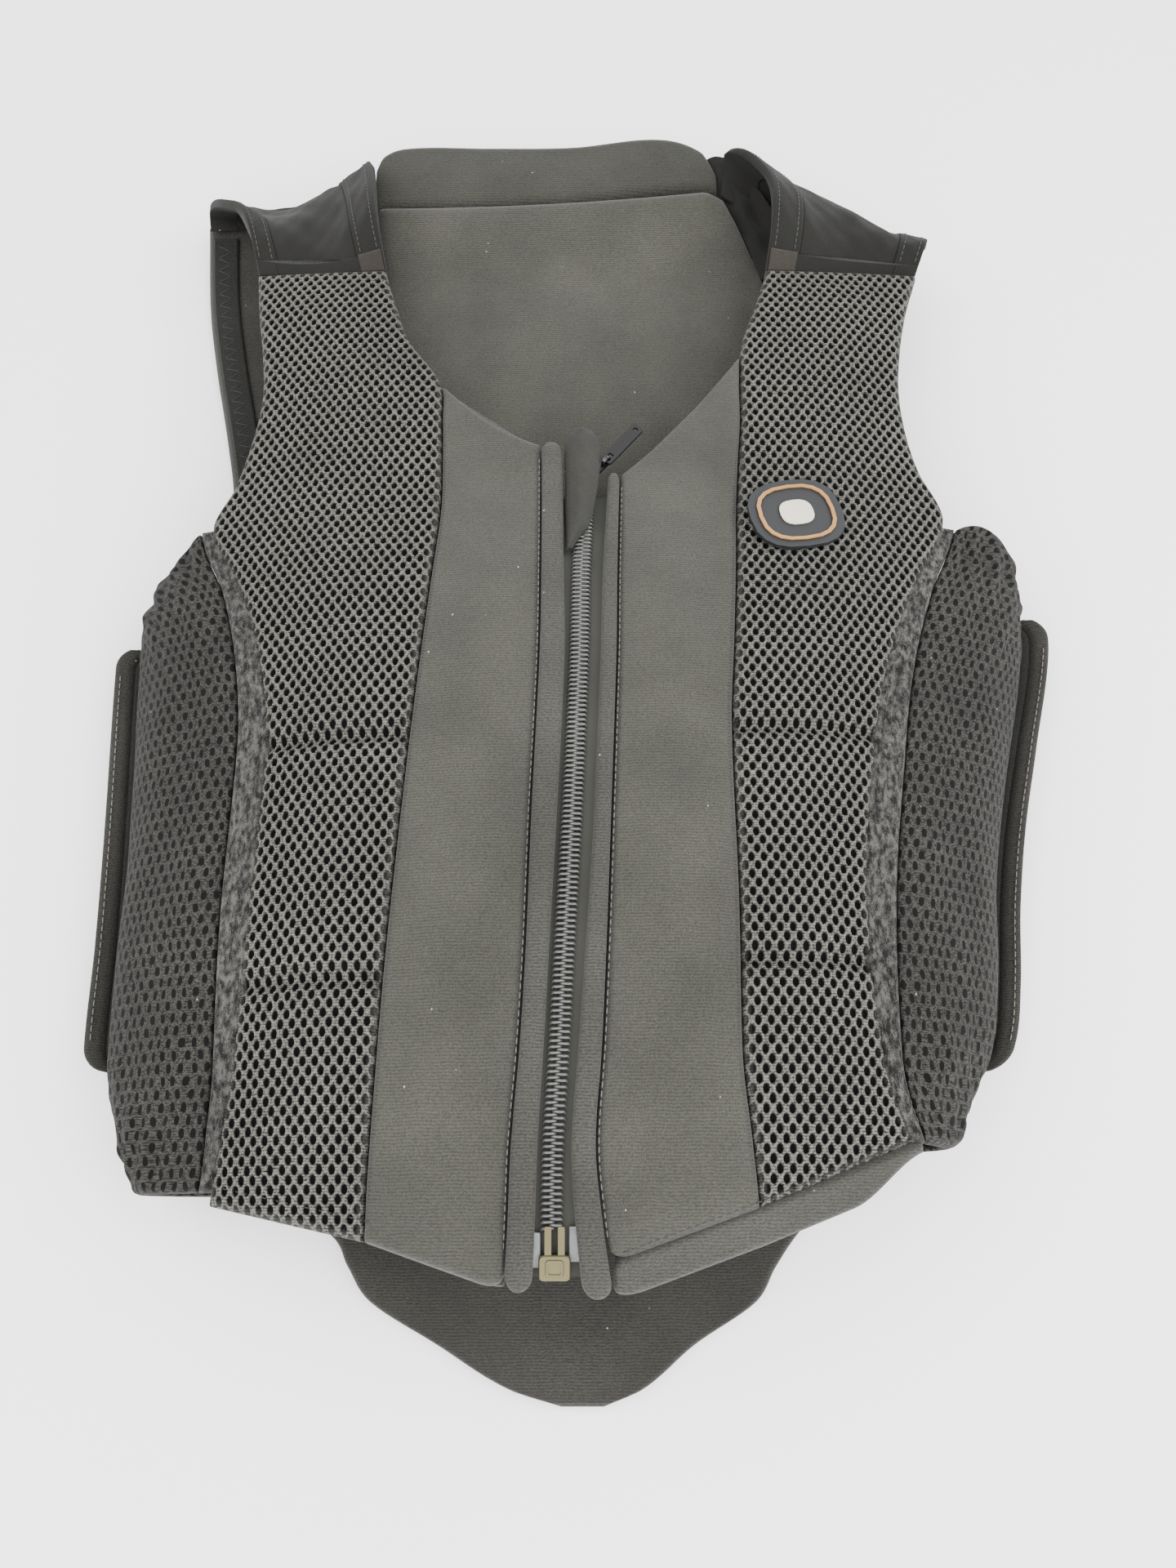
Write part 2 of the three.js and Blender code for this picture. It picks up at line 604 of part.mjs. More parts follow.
for (const side of ['left', 'right']) {
  const rows = flankRows(side);
  const start = rows[0];
  const end = rows[rows.length - 1];
  const outer = [];
  const inner = [];
  for (const y of rows) {
    const curve = sideSection(side, y);
    const sectionLength = curve.getLength();
    const endRoll = Math.min(y - start, end - y);
    const outerRow = [];
    const innerRow = [];
    for (const share of crowded(7)) {
      const p = curve.getPoint(share);
      const along = curve.getTangent(share);
      const outward = new THREE.Vector3(along.z, 0, -along.x).multiplyScalar(-sign[side]);
      const normal = new THREE.Vector3(0, 0, 1).lerp(outward, smooth(share / 0.2)).normalize();
      const fromSeam = share * sectionLength;
      const near = Math.min(fromSeam, sectionLength - fromSeam);
      const wave = Math.sin((2 * Math.PI * y) / PUCKER.pitch + share * 5);
      const pucker = PUCKER.depth * wave * smooth(endRoll / ROW_FAR)
        * smooth(1 - endRoll / PUCKER.over) * smooth(near / FOLD_LEAST);
      const sunk = roll(endRoll, EDGE.side) + roll(fromSeam, EDGE.side / 2);
      p.y += slant(side, share, end - y);
      outerRow.push(p.clone().addScaledVector(normal, -sunk + Math.min(pucker, GAP)));
      innerRow.push(p.clone().addScaledVector(normal, -SIDE_PAD + roll(endRoll, EDGE.side / 2)));
    }
    outer.push(outerRow);
    inner.push(innerRow);
  }
  add(`side_panel_${side}`, sheet(outer, inner), PERFORATED, 0.85);
}

// Wings: flat flaps of the back that stick out under the side panels, with a bound outer edge
const WING_LOW = 2;
const WING_LIFT = 15;
const WING_BEND = 1.6;
const BINDING_DROP = 1;

// Distances along of the back shell's rows, close together where the back curls up
const BACK_STATIONS = [...BACK.map((row) => row.along), 0.838, 0.865, 0.878, 0.891, 0.904]
  .sort((a, b) => a - b);

// Edge of the back shell's facets, straight between two of its rows
function backEdge(side, along) {
  const line = track(BACK, side);
  const i = Math.max(1, BACK_STATIONS.findIndex((station) => station >= along));
  const [low, high] = [BACK_STATIONS[i - 1], BACK_STATIONS[i]];
  return HALF_WIDTH * mix(line(low), line(high), (along - low) / (high - low));
}

for (const side of ['left', 'right']) {
  const s = sign[side];
  const foldLine = track(folds[side], 'fold');
  const ends = [WING_START, WING_END[side]];
  const corner = WING_CORNER / LENGTH;
  const inside = BACK.map((row) => row.along)
    .filter((along) => along > ends[0] + corner && along < ends[1] - corner);
  const wingRows = [ends[0], ends[0] + corner / 3, ends[0] + corner, ...inside, 0.272, 0.48,
    ends[1] - corner, ends[1] - corner / 3, ends[1]].sort((a, b) => a - b);
  const place = (along, share) => {
    const fromEnd = Math.min(along - ends[0], ends[1] - along) * LENGTH;
    const from = Math.abs(backEdge(side, along)) + GAP;
    const to = Math.abs(HALF_WIDTH * foldLine(along)) + WING_REACH - roll(fromEnd, WING_CORNER);
    return { x: s * mix(from, to, share), low: WING_LOW + WING_LIFT * share ** WING_BEND };
  };
  const flap = (from, to, rows, thickness, drop) => {
    const layers = [0, thickness].map((rise) => rows.map((along) => (
      [0, 0.33, 0.67, 1].map((step) => {
        const width = Math.abs(place(along, 1).x - place(along, 0).x);
        const share = mix(from(width), to(width), step);
        const { x, low } = place(along, share);
        return new THREE.Vector3(x, along * LENGTH, low + rise - drop);
      })
    )));
    return sheet(layers[1], layers[0]);
  };
  const inner = (width) => 1 - WING_BINDING_WIDTH / width;
  add(`wing_${side}`, flap(
    () => 0,
    (width) => inner(width) - GAP / width,
    wingRows,
    WING_PAD,
    0,
  ), SMOOTH, 0.85);
  const binding = flap(inner, () => 1, wingRows, WING_BINDING, BINDING_DROP);
  add(`wing_binding_${side}`, binding, WELT, 0.8);
}

// Hem facings under the front edge
for (const side of ['left', 'right']) {
  const s = sign[side];
  const width = HEM_WIDTH[side];
  const row = HEM_SEAM[side] * LENGTH;
  const corners = ['zip', 'seam', 'edge'].map((line) => (
    new THREE.Vector2(...frontSpot(side, row, line, 0))
  ));
  corners[0].x += s * GAP;
  const spots = [
    ...even(5).map((share) => corners[0].clone().lerp(corners[1], share)),
    ...even(7).slice(1).map((share) => corners[1].clone().lerp(corners[2], share)),
  ];
  const places = spots.map((p) => (
    [0, 0.2, 0.8, 1].map((step) => [p.x, p.y + mix(-FACING_LAP, width - GAP, step)])
  ));
  add(`hem_facing_${side}`, pad({
    places,
    height: (x, y) => frontHeight(x, y) - FACING_SINK,
    thickness: FACING_PAD,
    edge: EDGE.facing,
  }), WELT, 0.85);
}

// Back shell lying on the floor, from the tail to the shoulders
const backTop = track(BACK_TOP, 'along', 'across');
const BACK_TOP_FADE = 0.143 * LENGTH;

function backPlaces(rows, cols) {
  const left = track(BACK, 'left');
  const right = track(BACK, 'right');
  const full = BACK[BACK.length - 1].along * LENGTH;
  return rows.map((row) => cols.map((across) => {
    const shift = (backTop(across) * LENGTH - full) * smooth(1 - (full - row) / BACK_TOP_FADE);
    const y = row + shift;
    return [HALF_WIDTH * mix(left(y / LENGTH), right(y / LENGTH), across), y];
  }));
}

const backRows = BACK_STATIONS.map((along) => along * LENGTH);
const backColumns = [0, 0.012, 0.24, 0.52, 0.62, 0.72, 0.77, 0.82, 0.9, 0.988, 1];

function floorPad(places, low, thickness, edge, crown = 0) {
  return pad({
    places,
    height: (x, y) => low + thickness + backRise(y),
    thickness,
    edge,
    bulge: crown,
    under: 0.4,
  });
}

const shellPlaces = backPlaces(backRows, backColumns);
add('back_shell', floorPad(shellPlaces, 0, BACK_SHELL, EDGE.shell), TAIL, 0.85);

// Thick pad on the inside of the back, seen through the neck opening
const padLeft = track(INNER_PAD, 'left');
const padRight = track(INNER_PAD, 'right');
const padTop = INNER_PAD[INNER_PAD.length - 1].along;
const PAD_TOP_RISE = 10;
const padRows = [...INNER_PAD.map((row) => row.along), 0.204, 0.45, 0.865, 0.878, 0.904, 0.914, 0.92]
  .sort((a, b) => a - b);
const padPlaces = padRows.map((along) => crowded(7).map((across) => {
  const rise = PAD_TOP_RISE * across ** 2 * smooth(1 - (padTop - along) / 0.1);
  const y = along * LENGTH + rise * (1 - smooth((across - 0.93) / 0.07) * 0.6);
  return [HALF_WIDTH * mix(padLeft(along), padRight(along), across), y];
}));
const innerPad = floorPad(padPlaces, BACK_SHELL + GAP, BACK_PAD, EDGE.pad, CROWN.pad);
add('back_pad', innerPad, SMOOTH, 0.85);

// Collar behind the top edge of the back
const collarEdge = track(COLLAR_EDGE, 'along', 'across');
const COLLAR_FROM = COLLAR_EDGE[0].across;
const COLLAR_TO = COLLAR_EDGE[COLLAR_EDGE.length - 1].across;
const backLeftTop = HALF_WIDTH * BACK[BACK.length - 1].left;
const backRightTop = HALF_WIDTH * BACK[BACK.length - 1].right;
const collarPlaces = [0, 0.06, 0.25, 0.55, 0.85, 0.96, 1].map((step) => (
  crowded(11).map((share) => {
    const x = HALF_WIDTH * mix(COLLAR_FROM, COLLAR_TO, share);
    const across = (x - backLeftTop) / (backRightTop - backLeftTop);
    const from = LENGTH * backTop(across) + COLLAR_SEAT;
    const to = LENGTH * collarEdge(x / HALF_WIDTH);
    return [x, mix(from, to, step)];
  })
));
const collar = floorPad(collarPlaces, 0, COLLAR_PAD, EDGE.collar, CROWN.collar);
add('back_collar', collar, SMOOTH, 0.85);

// Binding along the armholes of the back shell
const ARM_BINDING = { width: 13, thickness: 2 };
for (const side of ['left', 'right']) {
  const line = track(BACK, side);
  const run = even(4).map((share) => mix(BINDING_RUN.from, BINDING_RUN.to, share));
  const rows = [...run, ...BINDING_TOP[side]];
  const places = rows.map((along) => {
    const x = HALF_WIDTH * line(along) - sign[side] * BINDING_INSET;
    return [0, 0.12, 0.88, 1].map((step) => (
      [x - sign[side] * ARM_BINDING.width * step, along * LENGTH]
    ));
  });
  const strip = floorPad(places, BACK_SHELL + GAP, ARM_BINDING.thickness, EDGE.binding);
  add(`back_binding_${side}`, strip, TWILL, 0.9);
}

// Shoulder yokes: a cloth arch from the front seam over the bend to the back seam, with a
// folded band along its neck side and another along its arm side
const YOKE_BAND_SHARE = { neck: 0.2, arm: 0.17 };
const yokes = { left: YOKE_LEFT, right: YOKE_RIGHT };
const YOKE_TURNS = [0, 0.1, 0.22, 0.34, 0.46, 0.56, 0.65, 0.74, 0.83, 0.92, 1];
const YOKE_SAG = { left: 15, right: 5 };
const SAG_WAY = new THREE.Vector3(0, 0.8, 0.6);
const YOKE_CREASE = 3;
const YOKE_SLIT = 0.006;

function yokePoint(side, turn, across) {
  const line = (column) => track(yokes[side], column, 'turn')(turn);
  const last = yokes[side][yokes[side].length - 1];
  const [neck, arm] = ['neck', 'arm'].map((edge) => {
    const lift = backRise(LENGTH * last[`${edge}Y`]) * smooth(2 * turn - 1);
    return new THREE.Vector3(
      HALF_WIDTH * line(`${edge}X`),
      LENGTH * line(`${edge}Y`),
      HEIGHT * line(`${edge}Z`) + lift,
    );
  });
  const sag = YOKE_SAG[side] * Math.sin(Math.PI * across) * Math.sin(Math.PI * turn);
  return neck.lerp(arm, across).addScaledVector(SAG_WAY, -sag);
}

function yokeSheet(side, from, to, cols, thickness, fold) {
  const outer = [];
  const inner = [];
  for (const turn of YOKE_TURNS) {
    const outerRow = [];
    const innerRow = [];
    for (const share of cols) {
      const across = mix(from, to, share);
      const p = yokePoint(side, turn, across);
      const ahead = yokePoint(side, Math.min(1, turn + 0.01), across);
      const behind = yokePoint(side, Math.max(0, turn - 0.01), across);
      const beside = yokePoint(side, turn, across + 0.01);
      const along = ahead.sub(behind);
      const normal = beside.sub(p).cross(along).normalize().multiplyScalar(sign[side]);
      const crease = fold * Math.sin(Math.PI * share) * Math.sin(turn * 9 + across * 7)
        * Math.sin(Math.PI * turn);
      outerRow.push(p.clone().addScaledVector(normal, crease));
      innerRow.push(p.clone().addScaledVector(normal, crease - thickness));
    }
    outer.push(outerRow);
    inner.push(innerRow);
  }
  return sheet(outer, inner);
}

for (const side of ['left', 'right']) {
  const neckTo = YOKE_BAND_SHARE.neck;
  const armFrom = 1 - YOKE_BAND_SHARE.arm;
  const bandCols = [0, 0.15, 0.85, 1];
  const [clothFrom, clothTo] = [neckTo + YOKE_SLIT, armFrom - YOKE_SLIT];
  const parts = {
    yoke_neck_band: yokeSheet(side, 0, neckTo, bandCols, YOKE_BAND, 0),
    yoke: yokeSheet(side, clothFrom, clothTo, even(5), YOKE_CLOTH, YOKE_CREASE),
    yoke_arm_band: yokeSheet(side, armFrom, 1, bandCols, YOKE_BAND, 0),
  };
  Object.entries(parts).forEach(([name, geometry]) => add(`${name}_${side}`, geometry, TWILL, 0.9));
}

// Zip: welts beside it, tapes below, two coil halves, slider, pull and box
const WELT_SIDES = 8;
const WELT_SINK = 3.4;
const TAPE_TOP = TAPE_DEPTH - TAPE_THICKNESS;

function weltRing(side, row, swell) {
  const [outX, y] = frontSpot(side, row, 'zip', 0);
  const inX = HALF_WIDTH * zipIn[side](y / LENGTH);
  const centre = (outX + inX) / 2;
  const half = Math.abs(outX - inX) / 2 - GAP / 2;
  const middle = frontHeight(centre, y) - WELT_SINK + WELT_HEIGHT / 2;
  return even(WELT_SIDES).slice(1).map((share) => {
    const angle = 2 * Math.PI * share;
    const squarer = (value) => Math.sign(value) * Math.abs(value) ** 0.7;
    return new THREE.Vector3(
      centre + half * swell * squarer(Math.cos(angle)),
      y,
      middle + (WELT_HEIGHT / 2) * swell * squarer(Math.sin(angle)),
    );
  });
}

for (const side of ['left', 'right']) {
  const neck = NECK_SEAM[side] * LENGTH;
  const rows = frontRows(side).filter((row) => row < neck + 0.01);
  const rings = rows.map((row, i) => {
    const end = Math.min(i, rows.length - 1 - i);
    return weltRing(side, row, [0.55, 0.9, 1][Math.min(end, 2)]);
  });
  add(`zip_welt_${side}`, bar(rings), WELT, 0.85);
}

const weltTop = frontSpot('right', frontRows('right').filter((row) => (
  row < NECK_SEAM.right * LENGTH + 0.01
)).pop(), 'zip', 0);
const pivotX = weltTop[0] - PULL.beside;
const pivotY = weltTop[1] + PULL.above;
const pivotZ = frontHeight(pivotX, pivotY) + PULL.lift;
const sliderY = pivotY - SLIDER.behind;
const zipRows = even(22).map((share) => mix(ZIP_END, ZIP_START, share) * LENGTH);
const coilX = (y) => HALF_WIDTH * coilLine(y / LENGTH);
const coilFrom = ZIP_END * LENGTH + BOX.length + BOX.pinLength - 2;
const coilTo = sliderY - SLIDER.length / 2 - GAP;

for (const side of ['left', 'right']) {
  const s = sign[side];
  const tapePlaces = (rise) => zipRows.map((y) => {
    const outX = HALF_WIDTH * zipOut[side](y / LENGTH) - s * 0.5;
    const inX = coilX(y) + s * (GAP / 2);
    const z = frontHeight(coilX(y), y) - TAPE_DEPTH + rise;
    return [inX, outX].map((x) => new THREE.Vector3(x, y, z));
  });
  add(`zip_tape_${side}`, sheet(tapePlaces(TAPE_THICKNESS), tapePlaces(0)), TWILL, 0.9);

  const coilRings = zipRows.filter((y) => y > coilFrom && y < coilTo)
    .map((y) => {
      const low = frontHeight(coilX(y), y) - TAPE_TOP + GAP;
      const [near, far] = [GAP / 2, COIL_WIDTH / 2];
      const side = far - COIL_ROUND;
      const top = COIL_HEIGHT - COIL_ROUND;
      const section = [
        [near, 0], [side, 0], [far, COIL_ROUND], [far, top], [side, COIL_HEIGHT], [near, COIL_HEIGHT],
      ];
      return section.map(([x, z]) => new THREE.Vector3(coilX(y) + s * x, y, low + z));
    });
  add(`zip_coil_${side}`, bar(coilRings), COIL, 0.45);
}

// Solid for joining and cutting
function solid(geometry) {
  const plain = geometry.clone();
  plain.deleteAttribute('normal');
  plain.deleteAttribute('uv');
  const merged = mergeVertices(plain, 1e-4);
  return new wasm.Manifold(new wasm.Mesh({
    numProp: 3,
    vertProperties: new Float32Array(merged.attributes.position.array),
    triVerts: new Uint32Array(merged.index.array),
  }));
}

function fromSolid(shape) {
  const mesh = shape.getMesh();
  const geometry = new THREE.BufferGeometry();
  geometry.setAttribute('position', new THREE.BufferAttribute(mesh.vertProperties, 3));
  geometry.setIndex(new THREE.BufferAttribute(mesh.triVerts, 1));
  geometry.computeVertexNormals();
  return geometry;
}

function roundedPlate(width, length, corner) {
  const points = [];
  const middles = [[1, -1], [1, 1], [-1, 1], [-1, -1]];
  middles.forEach(([across, up], quarter) => {
    for (let step = 0; step <= 3; step += 1) {
      const angle = (quarter - 1 + step / 3) * (Math.PI / 2);
      points.push(new THREE.Vector2(
        across * (width / 2 - corner) + corner * Math.cos(angle),
        up * (length / 2 - corner) + corner * Math.sin(angle),
      ));
    }
  });
  return new THREE.Shape(points);
}

const extrude = (shape, depth, bevel = 0) => new THREE.ExtrudeGeometry(shape, {
  depth: depth - 2 * bevel,
  curveSegments: 4,
  bevelEnabled: bevel > 0,
  bevelThickness: bevel,
  bevelSize: bevel,
  bevelOffset: -bevel,
  bevelSegments: 1,
});

// Slider with a lug whose eye holds the pull's end bar
const sliderX = coilX(sliderY) + 0.6;
const sliderZ = frontHeight(sliderX, sliderY) - TAPE_TOP + GAP;

const sliderBody = extrude(roundedPlate(SLIDER.width, SLIDER.length, 2.5), SLIDER.height, 0.5);
sliderBody.translate(sliderX, sliderY, sliderZ + 0.5);
const lugShape = new THREE.Shape();
const lugReach = (pivotX - sliderX - SLIDER.width / 4) / Math.cos(PULL_HEADING);
lugShape.moveTo(-lugReach, -LUG.low);
lugShape.lineTo(LUG.round, -LUG.low);
lugShape.lineTo(LUG.round, 0);
lugShape.absarc(0, 0, LUG.round, 0, Math.PI);
lugShape.lineTo(-LUG.round, -LUG.tail);
lugShape.lineTo(-lugReach, -LUG.tail);
lugShape.closePath();
const lug = extrude(lugShape, PULL.plate);
lug.translate(0, 0, -PULL.plate / 2);
lug.rotateX(Math.PI / 2);
lug.rotateZ(PULL_HEADING);
lug.translate(pivotX, pivotY, pivotZ);
const eye = new THREE.CylinderGeometry(PULL.eye / 2, PULL.eye / 2, 6, 12);
eye.rotateZ(PULL_HEADING);
eye.translate(pivotX, pivotY, pivotZ);
add('zip_slider', fromSolid(solid(sliderBody).add(solid(lug)).subtract(solid(eye))), BLACK_METAL, 0.3, 0.8);

// Pull: a plate with a small window at its tip and an opening at its base for the lug
const pullHole = (low, high, half) => {
  const corners = [[-half, low], [half, low], [half * 0.8, high], [-half * 0.8, high]];
  const hole = extrude(new THREE.Shape(corners.map(([x, y]) => new THREE.Vector2(x, y))), 4);
  hole.translate(0, 0, -2);
  return solid(hole);
};
const pullEnd = PULL.length / 2;
const openingLow = -pullEnd + PULL.bar;
const windowHigh = pullEnd - PULL_WINDOW.fromTip;
const pullPlate = solid(extrude(roundedPlate(PULL.width, PULL.length, 1.2), PULL.bar));
const pull = fromSolid(pullPlate
  .subtract(pullHole(openingLow, openingLow + PULL_OPENING.length, PULL_OPENING.half))
  .subtract(pullHole(windowHigh - PULL_WINDOW.length, windowHigh, PULL_WINDOW.half)));
pull.translate(0, PULL.length / 2 - PULL.bar / 2, -PULL.bar / 2);
pull.rotateZ(PULL_HEADING - Math.PI / 2);
pull.translate(pivotX, pivotY, pivotZ);
add('zip_pull', pull, BLACK_METAL, 0.25, 0.8);

// Box at the lower end of the zip with its two pins
const boxY = ZIP_END * LENGTH + BOX.length / 2 - 1;
const boxX = coilX(boxY) + 0.5;
const tapeTop = (y) => frontHeight(coilX(y), y) - TAPE_TOP;
const boxTilt = Math.atan2(tapeTop(boxY + BOX.pinLength) - tapeTop(boxY), BOX.pinLength);
const boxPart = (width, length, height, x, y, z, bevel) => {
  const part = extrude(roundedPlate(width, length, Math.min(width, length) * 0.2), height, bevel);
  part.translate(x, y, z + bevel);
  return solid(part);
};
const pinY = (BOX.length + BOX.pinLength - BOX_PIN.lap) / 2;
const pin = (aside) => boxPart(
  BOX_PIN.width,
  BOX.pinLength + BOX_PIN.lap,
  BOX_PIN.height,
  aside,
  pinY,
  BOX_PIN.above,
  0,
);
const frameHeight = BOX.height + BOX_FRAME.rise;
const [frameIn, frameLong] = [BOX_FRAME.width, BOX_FRAME.length].map((size) => (
  size - 2 * BOX_FRAME.border
));
const boxSolid = boxPart(BOX.width, BOX.length, BOX.height, 0, 0, 0, BOX.bevel)
  .add(pin(-BOX_PIN.aside))
  .add(pin(BOX_PIN.aside))
  .add(boxPart(BOX_FRAME.width, BOX_FRAME.length, frameHeight, 0, 0, 0, BOX.bevel / 2))
  .subtract(boxPart(frameIn, frameLong, 2 * BOX_FRAME.rise, 0, 0, BOX.height, 0));
const box = fromSolid(boxSolid);
box.rotateX(boxTilt);
box.translate(boxX, boxY, tapeTop(boxY) + 2 * GAP);
add('zip_box', box, BRASS, 0.5, 0.7);

// Hood: an arched tongue of cloth over the slider
const HOOD_CLOTH = 1.5;
const HOOD_LIFT = 7;
const HOOD_REST = { left: -2.2, right: 1.8 };
const hoodLift = track(HOOD, 'lift');
const hoodSides = ['left', 'right'].map((column) => track(HOOD, column));
const hoodRows = even(9).map((share) => mix(HOOD[0].along, HOOD[HOOD.length - 1].along, share));
const hoodGrid = (thickness) => hoodRows.map((along) => even(6).map((share) => {
  const y = along * LENGTH;
  const x = HALF_WIDTH * mix(hoodSides[0](along), hoodSides[1](along), share);
  const rest = frontHeight(x, y) + mix(HOOD_REST.left, HOOD_REST.right, share);
  const arch = HOOD_LIFT * hoodLift(along) * Math.sin(Math.PI * share);
  return new THREE.Vector3(x, y, rest + arch - thickness);
}));
add('zip_hood', sheet(hoodGrid(0), hoodGrid(HOOD_CLOTH)), TWILL, 0.9);

// Badge on the right mesh panel: a dark patch with a raised ring and a plain middle
const badgeX = HALF_WIDTH * BADGE_PLACE.x;
const badgeY = LENGTH * BADGE_PLACE.y;

function badgePiece(from, to, base, thickness) {
  const grid = (rise) => [from, mix(from, to, 0.5), to].map((radius) => even(20).slice(1).map((share) => {
    const angle = 2 * Math.PI * share;
    const blunt = (value) => Math.sign(value) * Math.abs(value) ** 0.75;
    const [u, v] = [(BADGE_WIDTH / 2) * radius * blunt(Math.cos(angle)),
      (BADGE_HEIGHT / 2) * radius * blunt(Math.sin(angle))];
    const x = badgeX + u * Math.cos(BADGE_TURN) - v * Math.sin(BADGE_TURN);
    const y = badgeY + u * Math.sin(BADGE_TURN) + v * Math.cos(BADGE_TURN);
    return new THREE.Vector3(x, y, frontHeight(x, y) + PAD_BULGE + base + rise);
  }));
  const top = grid(thickness);
  const bottom = grid(0);
  if (from > 0) return bandLoop(top, bottom);
  return disc(top, bottom);
}

// Closed ring between two grids of circles
function bandLoop(top, bottom) {
  const loops = [...top, ...[...bottom].reverse()];
  return closed(loops.flat(), loopFaces(loops.length, loops[0].length, true));
}

// Closed disc between two grids of circles, the first of them drawn in to its centre
function disc(top, bottom) {
  const centre = (loop) => loop.reduce((sum, p) => sum.add(p), new THREE.Vector3())
    .multiplyScalar(1 / loop.length);
  const loops = [...top.slice(1), ...[...bottom.slice(1)].reverse()];
  const count = loops[0].length;
  const points = [...loops.flat(), centre(top[1]), centre(bottom[1])];
  const faces = loopFaces(loops.length, count, false);
  const [upper, lower] = [points.length - 2, points.length - 1];
  const last = (loops.length - 1) * count;
  for (let i = 0; i < count; i += 1) {
    const next = (i + 1) % count;
    faces.push(upper, next, i, lower, last + i, last + next);
  }
  return closed(points, faces);
}

function loopFaces(loops, count, around) {
  const faces = [];
  for (let r = 0; r < (around ? loops : loops - 1); r += 1) {
    for (let i = 0; i < count; i += 1) {
      const next = (i + 1) % count;
      const [a, b] = [r * count + i, r * count + next];
      const [c, d] = [((r + 1) % loops) * count + next, ((r + 1) % loops) * count + i];
      faces.push(a, b, c, a, c, d);
    }
  }
  return faces;
}

add('badge_patch', badgePiece(0, 1, GAP, BADGE_THICKNESS), 0x1e1f22, 0.6);
add('badge_ring', badgePiece(0.74, 0.82, BADGE_THICKNESS + 2 * GAP, 0.8), 0xa86a35, 0.6);
add('badge_middle', badgePiece(0, 0.36, BADGE_THICKNESS + 2 * GAP, 0.8), 0xd8d2bf, 0.6);

// The origin is at the middle of the outline, on the floor
const bounds = new THREE.Box3().setFromObject(group);
const middle = bounds.getCenter(new THREE.Vector3());
group.children.forEach((mesh) => {
  mesh.geometry.translate(-middle.x, -middle.y, -bounds.min.z);
});

export default group;
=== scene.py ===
"""Body protector lying on its back on a pale studio floor, zip up, tail towards the viewer.

Shapes are worked out in the sewing frame, in millimetres: x across, y from the tail tip to the
collar, z up. The points are moved to the row frame, in metres, when a mesh is written.
"""

from __future__ import annotations

import logging
import math
from collections.abc import Callable, Sequence
from dataclasses import dataclass
from enum import Enum

import bpy
import numpy as np
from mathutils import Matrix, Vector

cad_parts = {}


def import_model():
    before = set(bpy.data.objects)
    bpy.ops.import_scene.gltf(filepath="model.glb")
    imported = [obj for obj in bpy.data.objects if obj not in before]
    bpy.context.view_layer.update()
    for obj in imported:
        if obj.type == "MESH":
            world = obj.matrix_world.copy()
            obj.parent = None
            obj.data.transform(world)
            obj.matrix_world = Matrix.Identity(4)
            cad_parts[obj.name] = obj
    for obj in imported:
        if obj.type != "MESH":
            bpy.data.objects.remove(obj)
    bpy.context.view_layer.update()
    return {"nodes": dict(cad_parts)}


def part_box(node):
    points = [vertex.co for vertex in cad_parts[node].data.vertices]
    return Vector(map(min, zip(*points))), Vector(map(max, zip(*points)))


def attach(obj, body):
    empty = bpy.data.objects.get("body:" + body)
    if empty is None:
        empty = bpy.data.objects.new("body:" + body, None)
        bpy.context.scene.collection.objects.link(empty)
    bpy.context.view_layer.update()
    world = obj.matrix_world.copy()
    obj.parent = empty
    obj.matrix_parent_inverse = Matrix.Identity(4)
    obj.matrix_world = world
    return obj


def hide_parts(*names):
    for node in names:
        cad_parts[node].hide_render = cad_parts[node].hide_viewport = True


LOG = logging.getLogger("body_protector")

# Driving sizes, millimetres
MM = 0.001
LENGTH = 629.0
HALF_WIDTH = 210.0
HEIGHT = 105.0
MIDDLE = (-1.890, 314.819)
GAP = 0.3
ARCH_POWER = 2.6
ARCH_HALF_WIDTH = 200.0
FRONT_PAD = 13.0
FACING_LAP = 1.0
FACING_SINK = 1.5
FACING_PAD = FRONT_PAD - 4.0
SIDE_PAD = 7.0
BACK_SHELL = 9.0
BACK_PAD = 11.0
COLLAR_PAD = 14.0
YOKE_CLOTH = 2.6
YOKE_BAND = 3.4
SEAM_BAND = 7.0
PAD_BULGE = 2.5
GROOVE_DEPTH = 5.0
GROOVE_WIDTH = 5.0
WELT_HEIGHT = 6.4
WELT_SINK = 3.4
TAPE_TOP = 4.4
COIL_PITCH = 2.15
MESH_PITCH_ACROSS = 4.8
MESH_PITCH_ALONG = 6.9
MESH_HOLE_DEPTH = 2.0
MESH_HOLE = (0.25, 0.262)
MESH_HOLE_POWER = (1.9, 1.8)
MESH_RIM = 3.5
SLOT_PITCH = (5.4, 9.6)
SLOT_HOLE = (0.215, 0.195)
SLOT_POWER = (2.4, 2.4)
TICK_PITCH = 1.55
POSITIVE = 1000.0  # whole pitches added so that a lattice's shares are never negative
LINT_COLOUR = (0.42, 0.40, 0.33, 1.0)
ARM_BINDING = 2.0
ARM_BINDING_INSET = 3.5
ARM_BINDING_WIDTH = 13.0
WING_BOUND = 8.0
WING_LOW = 2.0
WING_RISE = 15.0
WING_TOP = 22.2
ZIGZAG = (3.4, 7.0)
GATHER_HEIGHT = (23.5, 28.5)
HOOD_TILT = (-2.2, 1.8)
FLOOR_TONE = 0.97
SKY_STRENGTH = 1.56

# Steps of the grids, along and across
CENTRE_STEPS = (260, 46)
MESH_STEPS = (620, 126)
SIDE_STEPS = (270, 84)
BACK_STEPS = (240, 96)
PAD_STEPS = (150, 70)
YOKE_STEPS = (96, 46)
BAND_STEPS = 18
WELT_AROUND = 32

